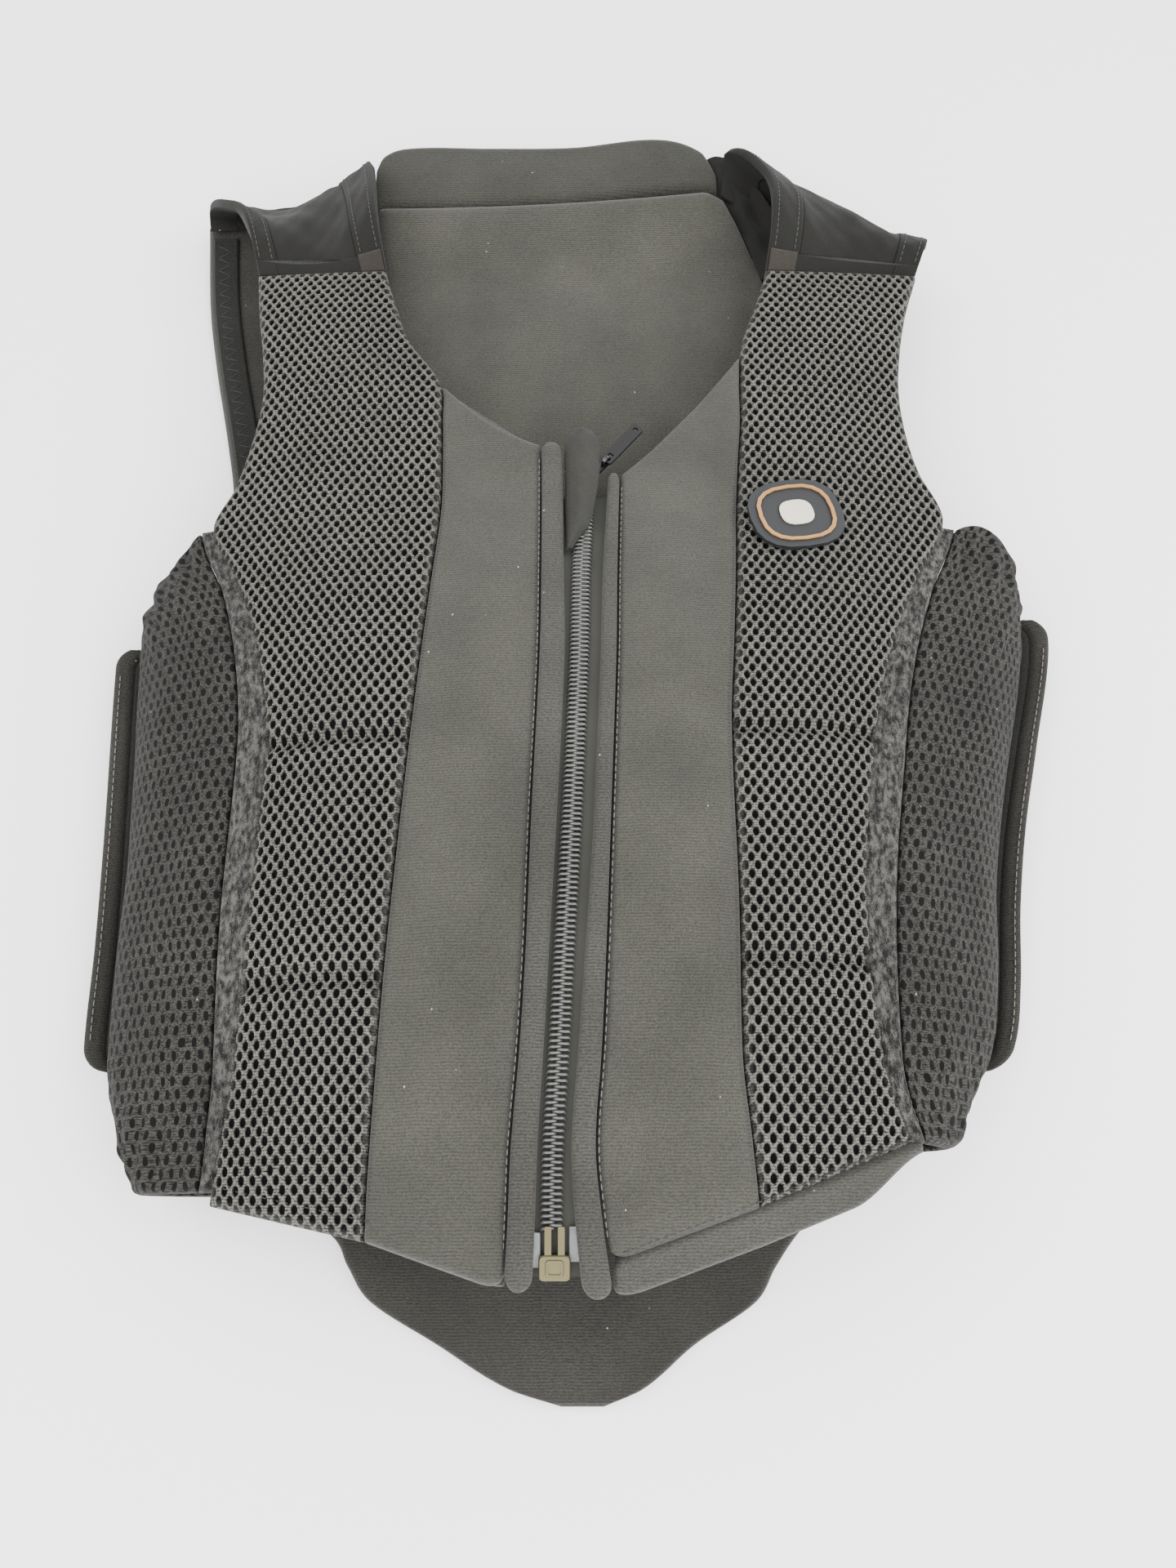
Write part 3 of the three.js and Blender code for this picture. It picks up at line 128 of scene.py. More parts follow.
Array = np.ndarray
Socket = bpy.types.NodeSocket
Input = Socket | float | tuple[float, ...]
Table = dict[str, tuple[float, ...]]


def table(columns: str, *rows: Sequence[float]) -> Table:
    """Names the columns of a short table.

    Args:
        columns: The column names, in order.
        rows: One sequence of values for each section.

    Returns:
        Each column's values by its name.
    """
    return dict(zip(columns.split(), zip(*rows)))


# Chest arch: crest height and its drop at the sides, as shares of the height
ARCH = table(
    "along crest drop",
    (0.070, 0.724, 0.590), (0.126, 0.820, 0.630), (0.205, 0.933, 0.620), (0.269, 0.962, 0.590),
    (0.364, 0.933, 0.533), (0.459, 0.876, 0.420), (0.523, 0.820, 0.343), (0.595, 0.733, 0.267),
    (0.682, 0.686, 0.257), (0.761, 0.610, 0.152), (0.825, 0.533, 0.076),
)

# Front sewing lines: mesh seam and mesh edge, as shares of the half width
FRONT = {
    "left": table(
        "along seam edge",
        (0.070, -0.390, -0.700), (0.124, -0.386, -0.686), (0.153, -0.381, -0.671),
        (0.200, -0.372, -0.648), (0.299, -0.357, -0.638), (0.410, -0.340, -0.638),
        (0.471, -0.329, -0.671), (0.526, -0.319, -0.729), (0.583, -0.310, -0.814),
        (0.618, -0.312, -0.776), (0.663, -0.318, -0.748), (0.700, -0.328, -0.738),
        (0.744, -0.405, -0.752), (0.781, -0.443, -0.771), (0.820, -0.476, -0.786),
    ),
    "right": table(
        "along seam edge",
        (0.070, 0.308, 0.640), (0.124, 0.295, 0.610), (0.153, 0.286, 0.581),
        (0.200, 0.271, 0.533), (0.299, 0.274, 0.519), (0.410, 0.276, 0.567),
        (0.471, 0.290, 0.614), (0.526, 0.302, 0.681), (0.589, 0.314, 0.771),
        (0.630, 0.324, 0.729), (0.663, 0.333, 0.710), (0.701, 0.337, 0.705),
        (0.742, 0.349, 0.719), (0.781, 0.386, 0.744), (0.820, 0.419, 0.781),
    ),
}

# Zip lines as shares of the half width
ZIP = table(
    "along left_out left_in coil right_in right_out",
    (0.070, -0.143, -0.095, -0.057, -0.010, 0.043),
    (0.107, -0.138, -0.090, -0.062, -0.022, 0.026),
    (0.149, -0.133, -0.086, -0.060, -0.029, 0.014),
    (0.204, -0.119, -0.076, -0.050, -0.017, 0.025),
    (0.266, -0.110, -0.067, -0.041, -0.004, 0.034),
    (0.342, -0.105, -0.057, -0.030, 0.010, 0.043),
    (0.458, -0.095, -0.045, -0.017, 0.024, 0.056),
    (0.523, -0.095, -0.048, -0.014, 0.029, 0.060),
    (0.595, -0.098, -0.052, -0.006, 0.040, 0.066),
    (0.637, -0.100, -0.057, -0.005, 0.044, 0.070),
)

# Outermost fold of the side panels, and the back shell's outline
FOLD = {
    "left": table(
        "along fold",
        (0.110, -0.860), (0.135, -0.870), (0.159, -0.902), (0.189, -0.925), (0.226, -0.936),
        (0.291, -0.940), (0.375, -0.952), (0.498, -0.974), (0.539, -0.975), (0.560, -0.952),
        (0.580, -0.913),
    ),
    "right": table(
        "along fold",
        (0.140, 0.650), (0.162, 0.680), (0.189, 0.731), (0.226, 0.785), (0.264, 0.807),
        (0.318, 0.825), (0.375, 0.855), (0.436, 0.899), (0.515, 0.954), (0.561, 0.951),
        (0.604, 0.948),
    ),
}
BACK = table(
    "along left right",
    (0.001, -0.050, 0.030), (0.011, -0.152, 0.105), (0.037, -0.290, 0.205),
    (0.062, -0.420, 0.324), (0.083, -0.467, 0.365), (0.103, -0.505, 0.410),
    (0.127, -0.640, 0.480), (0.151, -0.735, 0.540), (0.189, -0.785, 0.600),
    (0.226, -0.800, 0.655), (0.318, -0.805, 0.690), (0.436, -0.815, 0.755),
    (0.539, -0.825, 0.790), (0.583, -0.838, 0.780), (0.657, -0.848, 0.755),
    (0.709, -0.876, 0.750), (0.789, -0.929, 0.760), (0.852, -0.962, 0.780),
    (0.918, -0.971, 0.790),
)
BACK_TOP = table(
    "across along",
    (0.00, 0.918), (0.24, 0.924), (0.52, 0.931), (0.72, 0.941), (0.82, 0.920), (1.00, 0.850),
)
INNER_PAD = table(
    "along left right",
    (0.200, -0.520, 0.400), (0.230, -0.580, 0.470), (0.300, -0.610, 0.500),
    (0.600, -0.610, 0.540), (0.760, -0.560, 0.500), (0.850, -0.515, 0.450),
    (0.890, -0.530, 0.400), (0.924, -0.535, 0.345),
)
COLLAR_EDGE = table(
    "across along",
    (-0.545, 0.960), (-0.525, 0.980), (-0.460, 0.990), (-0.250, 0.990), (-0.040, 0.991),
    (0.180, 1.000), (0.290, 0.986), (0.330, 0.958),
)

# Shoulder yokes: neck side and arm side points along the turn over the shoulder
YOKE_COLUMNS = "turn neck_x neck_y neck_z arm_x arm_y arm_z"
YOKE = {
    "left": table(
        YOKE_COLUMNS,
        (0.00, -0.478, 0.8225, 0.467, -0.784, 0.8225, 0.438),
        (0.22, -0.505, 0.868, 0.560, -0.805, 0.855, 0.530),
        (0.42, -0.525, 0.912, 0.510, -0.845, 0.888, 0.500),
        (0.62, -0.545, 0.950, 0.380, -0.905, 0.908, 0.390),
        (0.82, -0.560, 0.958, 0.200, -0.952, 0.924, 0.210),
        (1.00, -0.556, 0.932, 0.060, -0.968, 0.924, 0.060),
    ),
    "right": table(
        YOKE_COLUMNS,
        (0.00, 0.422, 0.8225, 0.470, 0.779, 0.8225, 0.438),
        (0.22, 0.440, 0.868, 0.570, 0.800, 0.842, 0.520),
        (0.42, 0.440, 0.912, 0.540, 0.815, 0.856, 0.470),
        (0.62, 0.400, 0.955, 0.410, 0.812, 0.866, 0.350),
        (0.82, 0.355, 0.973, 0.230, 0.800, 0.867, 0.190),
        (1.00, 0.352, 0.952, 0.060, 0.785, 0.858, 0.060),
    ),
}

# Hood over the slider: its edges as shares of the half width, its lift in millimetres
HOOD = table(
    "along left right lift",
    (0.541, -0.044, -0.034, 3.6), (0.552, -0.045, -0.018, 4.2), (0.563, -0.046, 0.002, 5.0),
    (0.583, -0.048, 0.014, 6.4), (0.603, -0.049, 0.022, 7.0), (0.626, -0.051, 0.027, 6.4),
    (0.640, -0.050, 0.021, 5.0), (0.647, -0.044, 0.008, 4.0),
)

# Gathered cloth in the right shoulder loop: its near and far edge, millimetres
GATHER = table(
    "along near far",
    (0.855, 91.0, 100.0), (0.895, 83.0, 102.0), (0.935, 70.0, 92.0), (0.978, 57.0, 74.0),
)

# Middle line of one coil loop, millimetres: away from the zip's middle, up, along
COIL_LOOP = (
    (3.7, 0.7, -0.5), (3.9, 1.5, -0.25), (3.3, 2.35, 0.0), (1.6, 2.55, 0.0), (0.1, 2.3, 0.1),
    (-0.7, 1.7, 0.15), (-0.75, 1.1, 0.15), (0.0, 0.6, 0.2), (1.8, 0.4, 0.35), (3.4, 0.5, 0.5),
)
UP = np.array([0.0, 0.0, 1.0])

# Places along the length, and how far the front's rows lean at the hem and the neckline
HEM_SEAM = {"left": 0.097, "right": 0.0965}
NECK_SEAM = {"left": 0.695, "right": 0.725}
SHOULDER = 0.822
GROOVES = {"left": (0.245, 0.403), "right": (0.256, 0.408)}
FLANK_START = {"left": 0.132, "right": 0.166}
FLANK_END = 0.583
NECK_DROP = {"left": 0.057 * LENGTH, "right": 0.114 * LENGTH}
HEM_FALL = {"left": 0.027 * LENGTH, "right": 0.030 * LENGTH}
HEM_RISE = {"left": 0.021 * LENGTH, "right": 0.038 * LENGTH}
HEM_WIDTH = {"left": 5.0, "right": 12.0}
HEM_FADE = 0.111 * LENGTH
NECK_FADE = 0.199 * LENGTH
NECK_SAG = 0.008 * LENGTH
BACK_TOP_FADE = 0.143 * LENGTH
WING_START = 0.205
WING_END = {"left": 0.516, "right": 0.541}
WING_REACH = 16.0
WING_CORNER = 10.0
BACK_CURL = 15.0
CURL = (0.84, 0.97)
YOKE_SAG = {"left": 15.0, "right": 5.0}
SLANT = {"left": (0.0, 15.0, 75.0), "right": (9.0, 8.0, 60.0)}
SIGN = {"left": -1.0, "right": 1.0}
SIDES = ("left", "right")


def mix(a: Array | float, b: Array | float, share: Array | float) -> Array | float:
    """Value a share of the way from a to b.

    Args:
        a: Value at share 0.
        b: Value at share 1.
        share: How far to go.

    Returns:
        The value between them.
    """
    return a + (b - a) * share


def smooth(value: Array | float) -> Array | float:
    """Smooth step from 0 to 1.

    Args:
        value: The share, clipped to 0 and 1.

    Returns:
        The eased share.
    """
    share = np.clip(value, 0.0, 1.0)
    return share * share * (3.0 - 2.0 * share)


def crowded(count: int) -> Array:
    """Shares from 0 to 1 that crowd towards both ends.

    Args:
        count: Number of steps.

    Returns:
        count + 1 shares.
    """
    plain = np.linspace(0.0, 1.0, count + 1)
    eased = (1.0 - np.cos(np.pi * plain)) / 2.0
    return 0.75 * plain + 0.25 * eased


def roll(distance: Array, radius: float) -> Array:
    """Quarter-round fall of a surface near an edge.

    Args:
        distance: Distance to the edge.
        radius: Width of the rounding.

    Returns:
        How far the surface has fallen.
    """
    share = np.clip(1.0 - distance / radius, 0.0, 1.0)
    return radius * (1.0 - np.sqrt(1.0 - share * share))


def ripple(x: Array, y: Array, size: float, seed: float = 0.0) -> Array:
    """Soft irregular waves between about -1 and 1.

    Args:
        x: Places across.
        y: Places along.
        size: Usual distance between crests.
        seed: Shifts the pattern.

    Returns:
        The wave at each place.
    """
    k = 2.0 * np.pi / size
    total = np.sin(k * (x + 0.31 * y) + seed)
    total = total + np.sin(k * (0.77 * y - 0.42 * x) + 1.7 * seed + 1.1)
    total = total + 0.6 * np.sin(k * 1.73 * (0.61 * x + 0.83 * y) + 2.3 * seed)
    return total / 2.6


class Track:
    """Smooth curve through one column of a table."""

    def __init__(self, rows: Table, column: str, key: str = "along") -> None:
        """Reads the table.

        Args:
            rows: The table.
            column: The column to follow.
            key: The column of places.
        """
        self.at = np.array(rows[key])
        self.values = np.array(rows[column])
        count = len(self.at)
        before = np.maximum(np.arange(count) - 1, 0)
        after = np.minimum(np.arange(count) + 1, count - 1)
        rise = self.values[after] - self.values[before]
        self.slopes = rise / (self.at[after] - self.at[before])

    def __call__(self, place: Array | float) -> Array:
        """Value at each place.

        Args:
            place: Places in the key column's unit.

        Returns:
            The values there.
        """
        spot = np.clip(place, self.at[0], self.at[-1])
        i = np.clip(np.searchsorted(self.at, spot, side="left") - 1, 0, len(self.at) - 2)
        span = self.at[i + 1] - self.at[i]
        t = (spot - self.at[i]) / span
        t2, t3 = t * t, t * t * t
        start = self.values[i] * (2 * t3 - 3 * t2 + 1) + self.slopes[i] * span * (t3 - 2 * t2 + t)
        end = self.values[i + 1] * (3 * t2 - 2 * t3) + self.slopes[i + 1] * span * (t3 - t2)
        return start + end


def back_rise(y: Array | float) -> Array | float:
    """How far the stiff back curls up from the floor towards the collar.

    Args:
        y: Places along.

    Returns:
        The rise at each place.
    """
    return BACK_CURL * smooth((y / LENGTH - CURL[0]) / (CURL[1] - CURL[0]))


class Garment:
    """The sewing lines and heights that every piece of the garment shares."""

    def __init__(self) -> None:
        """Builds the curves."""
        self.crest = Track(ARCH, "crest")
        self.drop = Track(ARCH, "drop")
        self.seam = {side: Track(FRONT[side], "seam") for side in SIDES}
        self.edge = {side: Track(FRONT[side], "edge") for side in SIDES}
        self.welt_out = {side: Track(ZIP, f"{side}_out") for side in SIDES}
        self.welt_in = {side: Track(ZIP, f"{side}_in") for side in SIDES}
        self.coil = Track(ZIP, "coil")
        self.fold = {side: Track(FOLD[side], "fold") for side in SIDES}
        self.back = {side: Track(BACK, side) for side in SIDES}

    def height(self, x: Array, y: Array) -> Array:
        """Height of the outside of the front.

        Args:
            x: Places across.
            y: Places along.

        Returns:
            The heights.
        """
        along = np.asarray(y) / LENGTH
        reach = np.abs(x) / ARCH_HALF_WIDTH
        return HEIGHT * (self.crest(along) - self.drop(along) * reach**ARCH_POWER)

    def facing(self, side: str, row: Array) -> Array:
        """How far the hem facing lifts a front row.

        Args:
            side: left or right.
            row: Row places.

        Returns:
            The lift of each row.
        """
        from_hem = row - HEM_SEAM[side] * LENGTH
        return HEM_WIDTH[side] * smooth(1.0 - from_hem / (HEM_FADE * 0.6))

    def spot(self, side: str, row: Array, line: str, raised: bool = True) -> tuple[Array, Array]:
        """Where a front row crosses a sewing line.

        Args:
            side: left or right.
            row: Row places.
            line: zip, seam or edge.
            raised: Whether the row stands on the hem facing.

        Returns:
            Places across and along.
        """
        hem = smooth(1.0 - (row - HEM_SEAM[side] * LENGTH) / HEM_FADE)
        neck = smooth(1.0 - (NECK_SEAM[side] * LENGTH - row) / NECK_FADE)
        centre = -HEM_FALL[side] * hem - NECK_DROP[side] * neck
        shift = {"zip": centre, "seam": 0.0 * row, "edge": HEM_RISE[side] * hem}[line]
        y = row + shift + (self.facing(side, row) if raised else 0.0)
        lines = {"zip": self.welt_out, "seam": self.seam, "edge": self.edge}
        return HALF_WIDTH * lines[line][side](y / LENGTH), y

    def band_width(self, side: str, y: Array) -> Array:
        """Width of the seam band beside the mesh panel.

        Args:
            side: left or right.
            y: Places along.

        Returns:
            The widths.
        """
        share = (y / LENGTH - FLANK_START[side]) / (FLANK_END - FLANK_START[side])
        return 5.0 + 8.0 * np.sin(np.pi * np.clip(share, 0.02, 0.98))

    def groove(self, side: str, y: Array) -> Array:
        """Depth of the quilting grooves of a mesh panel.

        Args:
            side: left or right.
            y: Places along.

        Returns:
            The depths.
        """
        depths = [
            GROOVE_DEPTH * np.exp(-(((y - along * LENGTH) / (GROOVE_WIDTH * 0.7)) ** 2))
            for along in GROOVES[side]
        ]
        return np.maximum(*depths)


def grid(*parts: Array | float) -> Array:
    """Joins coordinates into points.

    Args:
        parts: Coordinates, spread to one shape.

    Returns:
        The points.
    """
    return np.stack(np.broadcast_arrays(*parts), axis=-1)


def unit(vectors: Array) -> Array:
    """Brings vectors to length one.

    Args:
        vectors: The vectors.

    Returns:
        The unit vectors.
    """
    return vectors / np.linalg.norm(vectors, axis=-1, keepdims=True)


def run_of(path: Array) -> Array:
    """Distances of a path's points from its start, along it.

    Args:
        path: The points.

    Returns:
        The distances.
    """
    return np.concatenate([[0.0], np.cumsum(np.linalg.norm(np.diff(path, axis=0), axis=-1))])


def follow(spots: Array, run: Array, values: Array) -> Array:
    """Values at places along a path.

    Args:
        spots: Distances along the path.
        run: Distances of the known points.
        values: Their values, a row for each.

    Returns:
        The values, a row for each place.
    """
    return grid(*(np.interp(spots, run, column) for column in values.T))


def edge_distance(x: Array, y: Array) -> Array:
    """Distance of each grid point to the nearest border of the grid.

    Args:
        x: Places across.
        y: Places along.

    Returns:
        The distances.
    """
    ends = ((x[:, :1], y[:, :1]), (x[:, -1:], y[:, -1:]), (x[:1], y[:1]), (x[-1:], y[-1:]))
    return np.min([np.hypot(x - ex, y - ey) for ex, ey in ends], axis=0)


class ClothBuilder:
    """Writes rings of points as Blender meshes with cloth coordinates."""

    def __init__(self) -> None:
        """Opens the collection for the pieces."""
        self.collection = bpy.data.collections.new("visual")
        bpy.context.scene.collection.children.link(self.collection)

    def tubes(
        self, name: str, rings: Array, material: bpy.types.Material, cloth: Array | None = None
    ) -> bpy.types.Object:
        """Writes tubes lofted through closed rings and capped at both ends.

        Args:
            name: The piece's name.
            rings: Points by tube, ring and place round it, sewing frame, millimetres.
            material: The finish.
            cloth: Cloth coordinates and edge distance of each point, millimetres.

        Returns:
            The object.
        """
        count, sections, around = rings.shape[:3]
        numbers = np.arange(sections * around).reshape(sections, around)
        beside = np.roll(numbers, -1, axis=1)
        quads = grid(numbers[:-1], beside[:-1], beside[1:], numbers[1:]).reshape(-1, 4)
        faces: list[list[int]] = []
        for first in range(0, count * sections * around, sections * around):
            faces += (quads + first).tolist()
            faces += [(numbers[0][::-1] + first).tolist(), (numbers[-1] + first).tolist()]
        mesh = bpy.data.meshes.new(name)
        points = (rings.reshape(-1, 3) - np.array([*MIDDLE, 0.0])) * MM
        mesh.from_pydata(points.tolist(), [], faces)
        if cloth is not None:
            layer = mesh.attributes.new("cloth", "FLOAT_VECTOR", "POINT")
            layer.data.foreach_set("vector", cloth.astype(np.float32).ravel())
        mesh.polygons.foreach_set("use_smooth", [True] * len(mesh.polygons))
        mesh.materials.append(material)
        mesh.update()
        obj = bpy.data.objects.new(name, mesh)
        self.collection.objects.link(obj)
        return obj

    def loft(
        self, name: str, rings: Array, material: bpy.types.Material, cloth: Array
    ) -> bpy.types.Object:
        """Writes one closed loft with its faces turned outwards.

        Args:
            name: The piece's name.
            rings: Points by ring and place round it.
            material: The finish.
            cloth: Cloth coordinates in the same order.

        Returns:
            The object.
        """
        obj = self.tubes(name, rings[None], material, cloth)
        mesh = obj.data
        points = np.empty(len(mesh.vertices) * 3)
        mesh.vertices.foreach_get("co", points)
        mesh.calc_loop_triangles()
        corners = np.empty(len(mesh.loop_triangles) * 3, dtype=int)
        mesh.loop_triangles.foreach_get("vertices", corners)
        a, b, c = (points.reshape(-1, 3)[corners.reshape(-1, 3)[:, i]] for i in range(3))
        if np.einsum("ij,ij->", a, np.cross(b, c)) < 0:
            mesh.flip_normals()
        return obj


def pattern_holes(x: Array, y: Array) -> Array:
    """How deep each place of the spacer mesh lies in a hole.

    Args:
        x: Places across.
        y: Places along.

    Returns:
        1 in the middle of a hole, 0 on the yarn.
    """
    best = np.full(np.shape(x), 9.0)
    for shift in (0.0, 0.5):
        u = (x / MESH_PITCH_ACROSS + shift) % 1.0 - 0.5
        v = (y / MESH_PITCH_ALONG + shift) % 1.0 - 0.5
        reach = np.abs(u / MESH_HOLE[0]) ** MESH_HOLE_POWER[0]
        reach = reach + np.abs(v / MESH_HOLE[1]) ** MESH_HOLE_POWER[1]
        best = np.minimum(best, reach)
    return smooth((1.2 - best) / 0.6)


class Panel(Enum):
    """Front panels and the sewing lines that bound them."""

    CENTRE = ("zip", "seam")
    MESH = ("seam", "edge")


@dataclass(frozen=True)
class SeamRow:
    """Where a row of sewing lies and how large its stitches are, millimetres.

    Attributes:
        inset: Distance to its line, or its share of the band's width.
        sink: How far it lies below the front's height.
        size: Pitch of the stitches, or length of ticks across the row.
    """

    inset: float
    sink: float
    size: float


WELT_ROW = SeamRow(1.0, 0.85, 3.3)
WELT_TICKS = SeamRow(3.0, 0.06, 2.6)
SEAM_TICKS = SeamRow(2.0, 0.3, 2.8)
HEM_ROW = SeamRow(2.6, 0.35, 3.0)
WING_ROW = SeamRow(3.2, 0.0, 3.6)
BAND_ROWS = {"in": SeamRow(0.12, 1.2, 3.6), "out": SeamRow(0.80, 1.2, 3.6)}


@dataclass(frozen=True)
class Finish:
    """A cloth or hard finish made of shared node groups.

    Attributes:
        slot: The record's material slot.
        colour: Base colour.
        roughness: Surface roughness.
        metallic: Share of metal.
        sheen: Strength of the cloth's sheen.
        pattern: Name of the pattern group, or none.
        pattern_depth: Strength of the pattern's relief, metres.
        pattern_tone_and_shade: How much the pattern's hollows are darkened: partly the yarn's own
            tone, partly painted shade in its grooves and holes.
        lint: Share of pale specks.
        coat: Clear coat.
    """

    slot: str
    colour: tuple[float, float, float]
    roughness: float = 0.85
    metallic: float = 0.0
    sheen: float = 0.3
    pattern: str = ""
    pattern_depth: float = 0.0002
    pattern_tone_and_shade: float = 0.4
    lint: float = 0.0
    coat: float = 0.0


FINISHES = {
    "smooth": Finish("smooth_neoprene", (0.0468, 0.046, 0.0382), 0.9, sheen=0.12, pattern="ribs",
                     pattern_depth=0.00016, pattern_tone_and_shade=0.45, lint=0.8),
    # Painted shade: the smooth neoprene made darker for the collar, which lies in the shadow of the
    # inner pad's top edge.
    "collar": Finish("smooth_neoprene", (0.0319, 0.0319, 0.0266), 0.9, sheen=0.1, pattern="ribs",
                     pattern_depth=0.00014, pattern_tone_and_shade=0.4, lint=0.8),
    # The values near 1 for the mesh and the perforated cloth paint their holes near black: painted
    # shade inside the holes.
    "mesh": Finish("spacer_mesh", (0.1166, 0.1146, 0.1028), 0.95, sheen=0.0, pattern="spacer",
                   pattern_depth=0.0005, pattern_tone_and_shade=0.985, lint=0.8),
    "crushed": Finish("crushed_mesh", (0.0559, 0.0549, 0.0495), 0.95, sheen=0.08, pattern="fuzz",
                      pattern_depth=0.0011, pattern_tone_and_shade=0.9, lint=0.9),
    "perforated": Finish("perforated_cloth", (0.0353, 0.0332, 0.0301), 0.9, sheen=0.02,
                         pattern="perforation", pattern_depth=0.0004, pattern_tone_and_shade=0.97, lint=0.8),
    "tail": Finish("ribbed_neoprene", (0.0323, 0.0308, 0.027), 0.9, sheen=0.08, pattern="ribs",
                   pattern_depth=0.0002, pattern_tone_and_shade=0.5, lint=0.7),
    "twill": Finish("twill", (0.0100, 0.0098, 0.0086), 0.8, sheen=0.05, pattern="twill",
                    pattern_depth=0.00018, pattern_tone_and_shade=0.5, lint=0.8),
    "hood": Finish("twill", (0.030, 0.030, 0.026), 0.8, sheen=0.06, pattern="twill",
                   pattern_depth=0.00018, pattern_tone_and_shade=0.5, lint=0.8),
    "tape": Finish("twill", (0.060, 0.060, 0.053), 0.8, sheen=0.08, pattern="twill",
                   pattern_depth=0.0002, pattern_tone_and_shade=0.6, lint=0.7),
    "binding": Finish("binding", (0.0449, 0.0441, 0.038), 0.85, sheen=0.1, pattern="ribs",
                      pattern_depth=0.0002, pattern_tone_and_shade=0.5, lint=0.7),
    "overlock": Finish("binding", (0.015, 0.015, 0.014), 0.85, sheen=0.05, pattern="ribs",
                       pattern_depth=0.0002, pattern_tone_and_shade=0.55),
    "coil": Finish("nylon_coil", (0.0638, 0.0659, 0.0616), 0.3, sheen=0.0, coat=0.4),
    "metal": Finish("black_metal", (0.007, 0.007, 0.008), 0.3, 0.3, sheen=0.0, coat=0.35),
    "brass": Finish("aged_brass", (0.12, 0.104, 0.055), 0.42, 0.85, sheen=0.0),
    "rubber": Finish("badge_rubber", (0.014, 0.015, 0.017), 0.5, sheen=0.0),
    "ochre": Finish("badge_ochre", (0.33, 0.17, 0.055), 0.5, sheen=0.0),
    "cream": Finish("badge_cream", (0.62, 0.58, 0.47), 0.5, sheen=0.0),
    "thread": Finish("binding", (0.115, 0.113, 0.100), 0.7, sheen=0.05),
    "dark_thread": Finish("twill", (0.010, 0.010, 0.010), 0.7, sheen=0.05),
    "tick": Finish("smooth_neoprene", (0.034, 0.034, 0.029), 0.9, sheen=0.05),
    "patch": Finish("binding", (0.0267, 0.0232, 0.0191), 0.85, sheen=0.1, pattern="twill",
                    pattern_depth=0.00018, pattern_tone_and_shade=0.4),
    "film": Finish("twill", (0.1155, 0.1194, 0.1232), 0.3, sheen=0.0, coat=0.3),
}


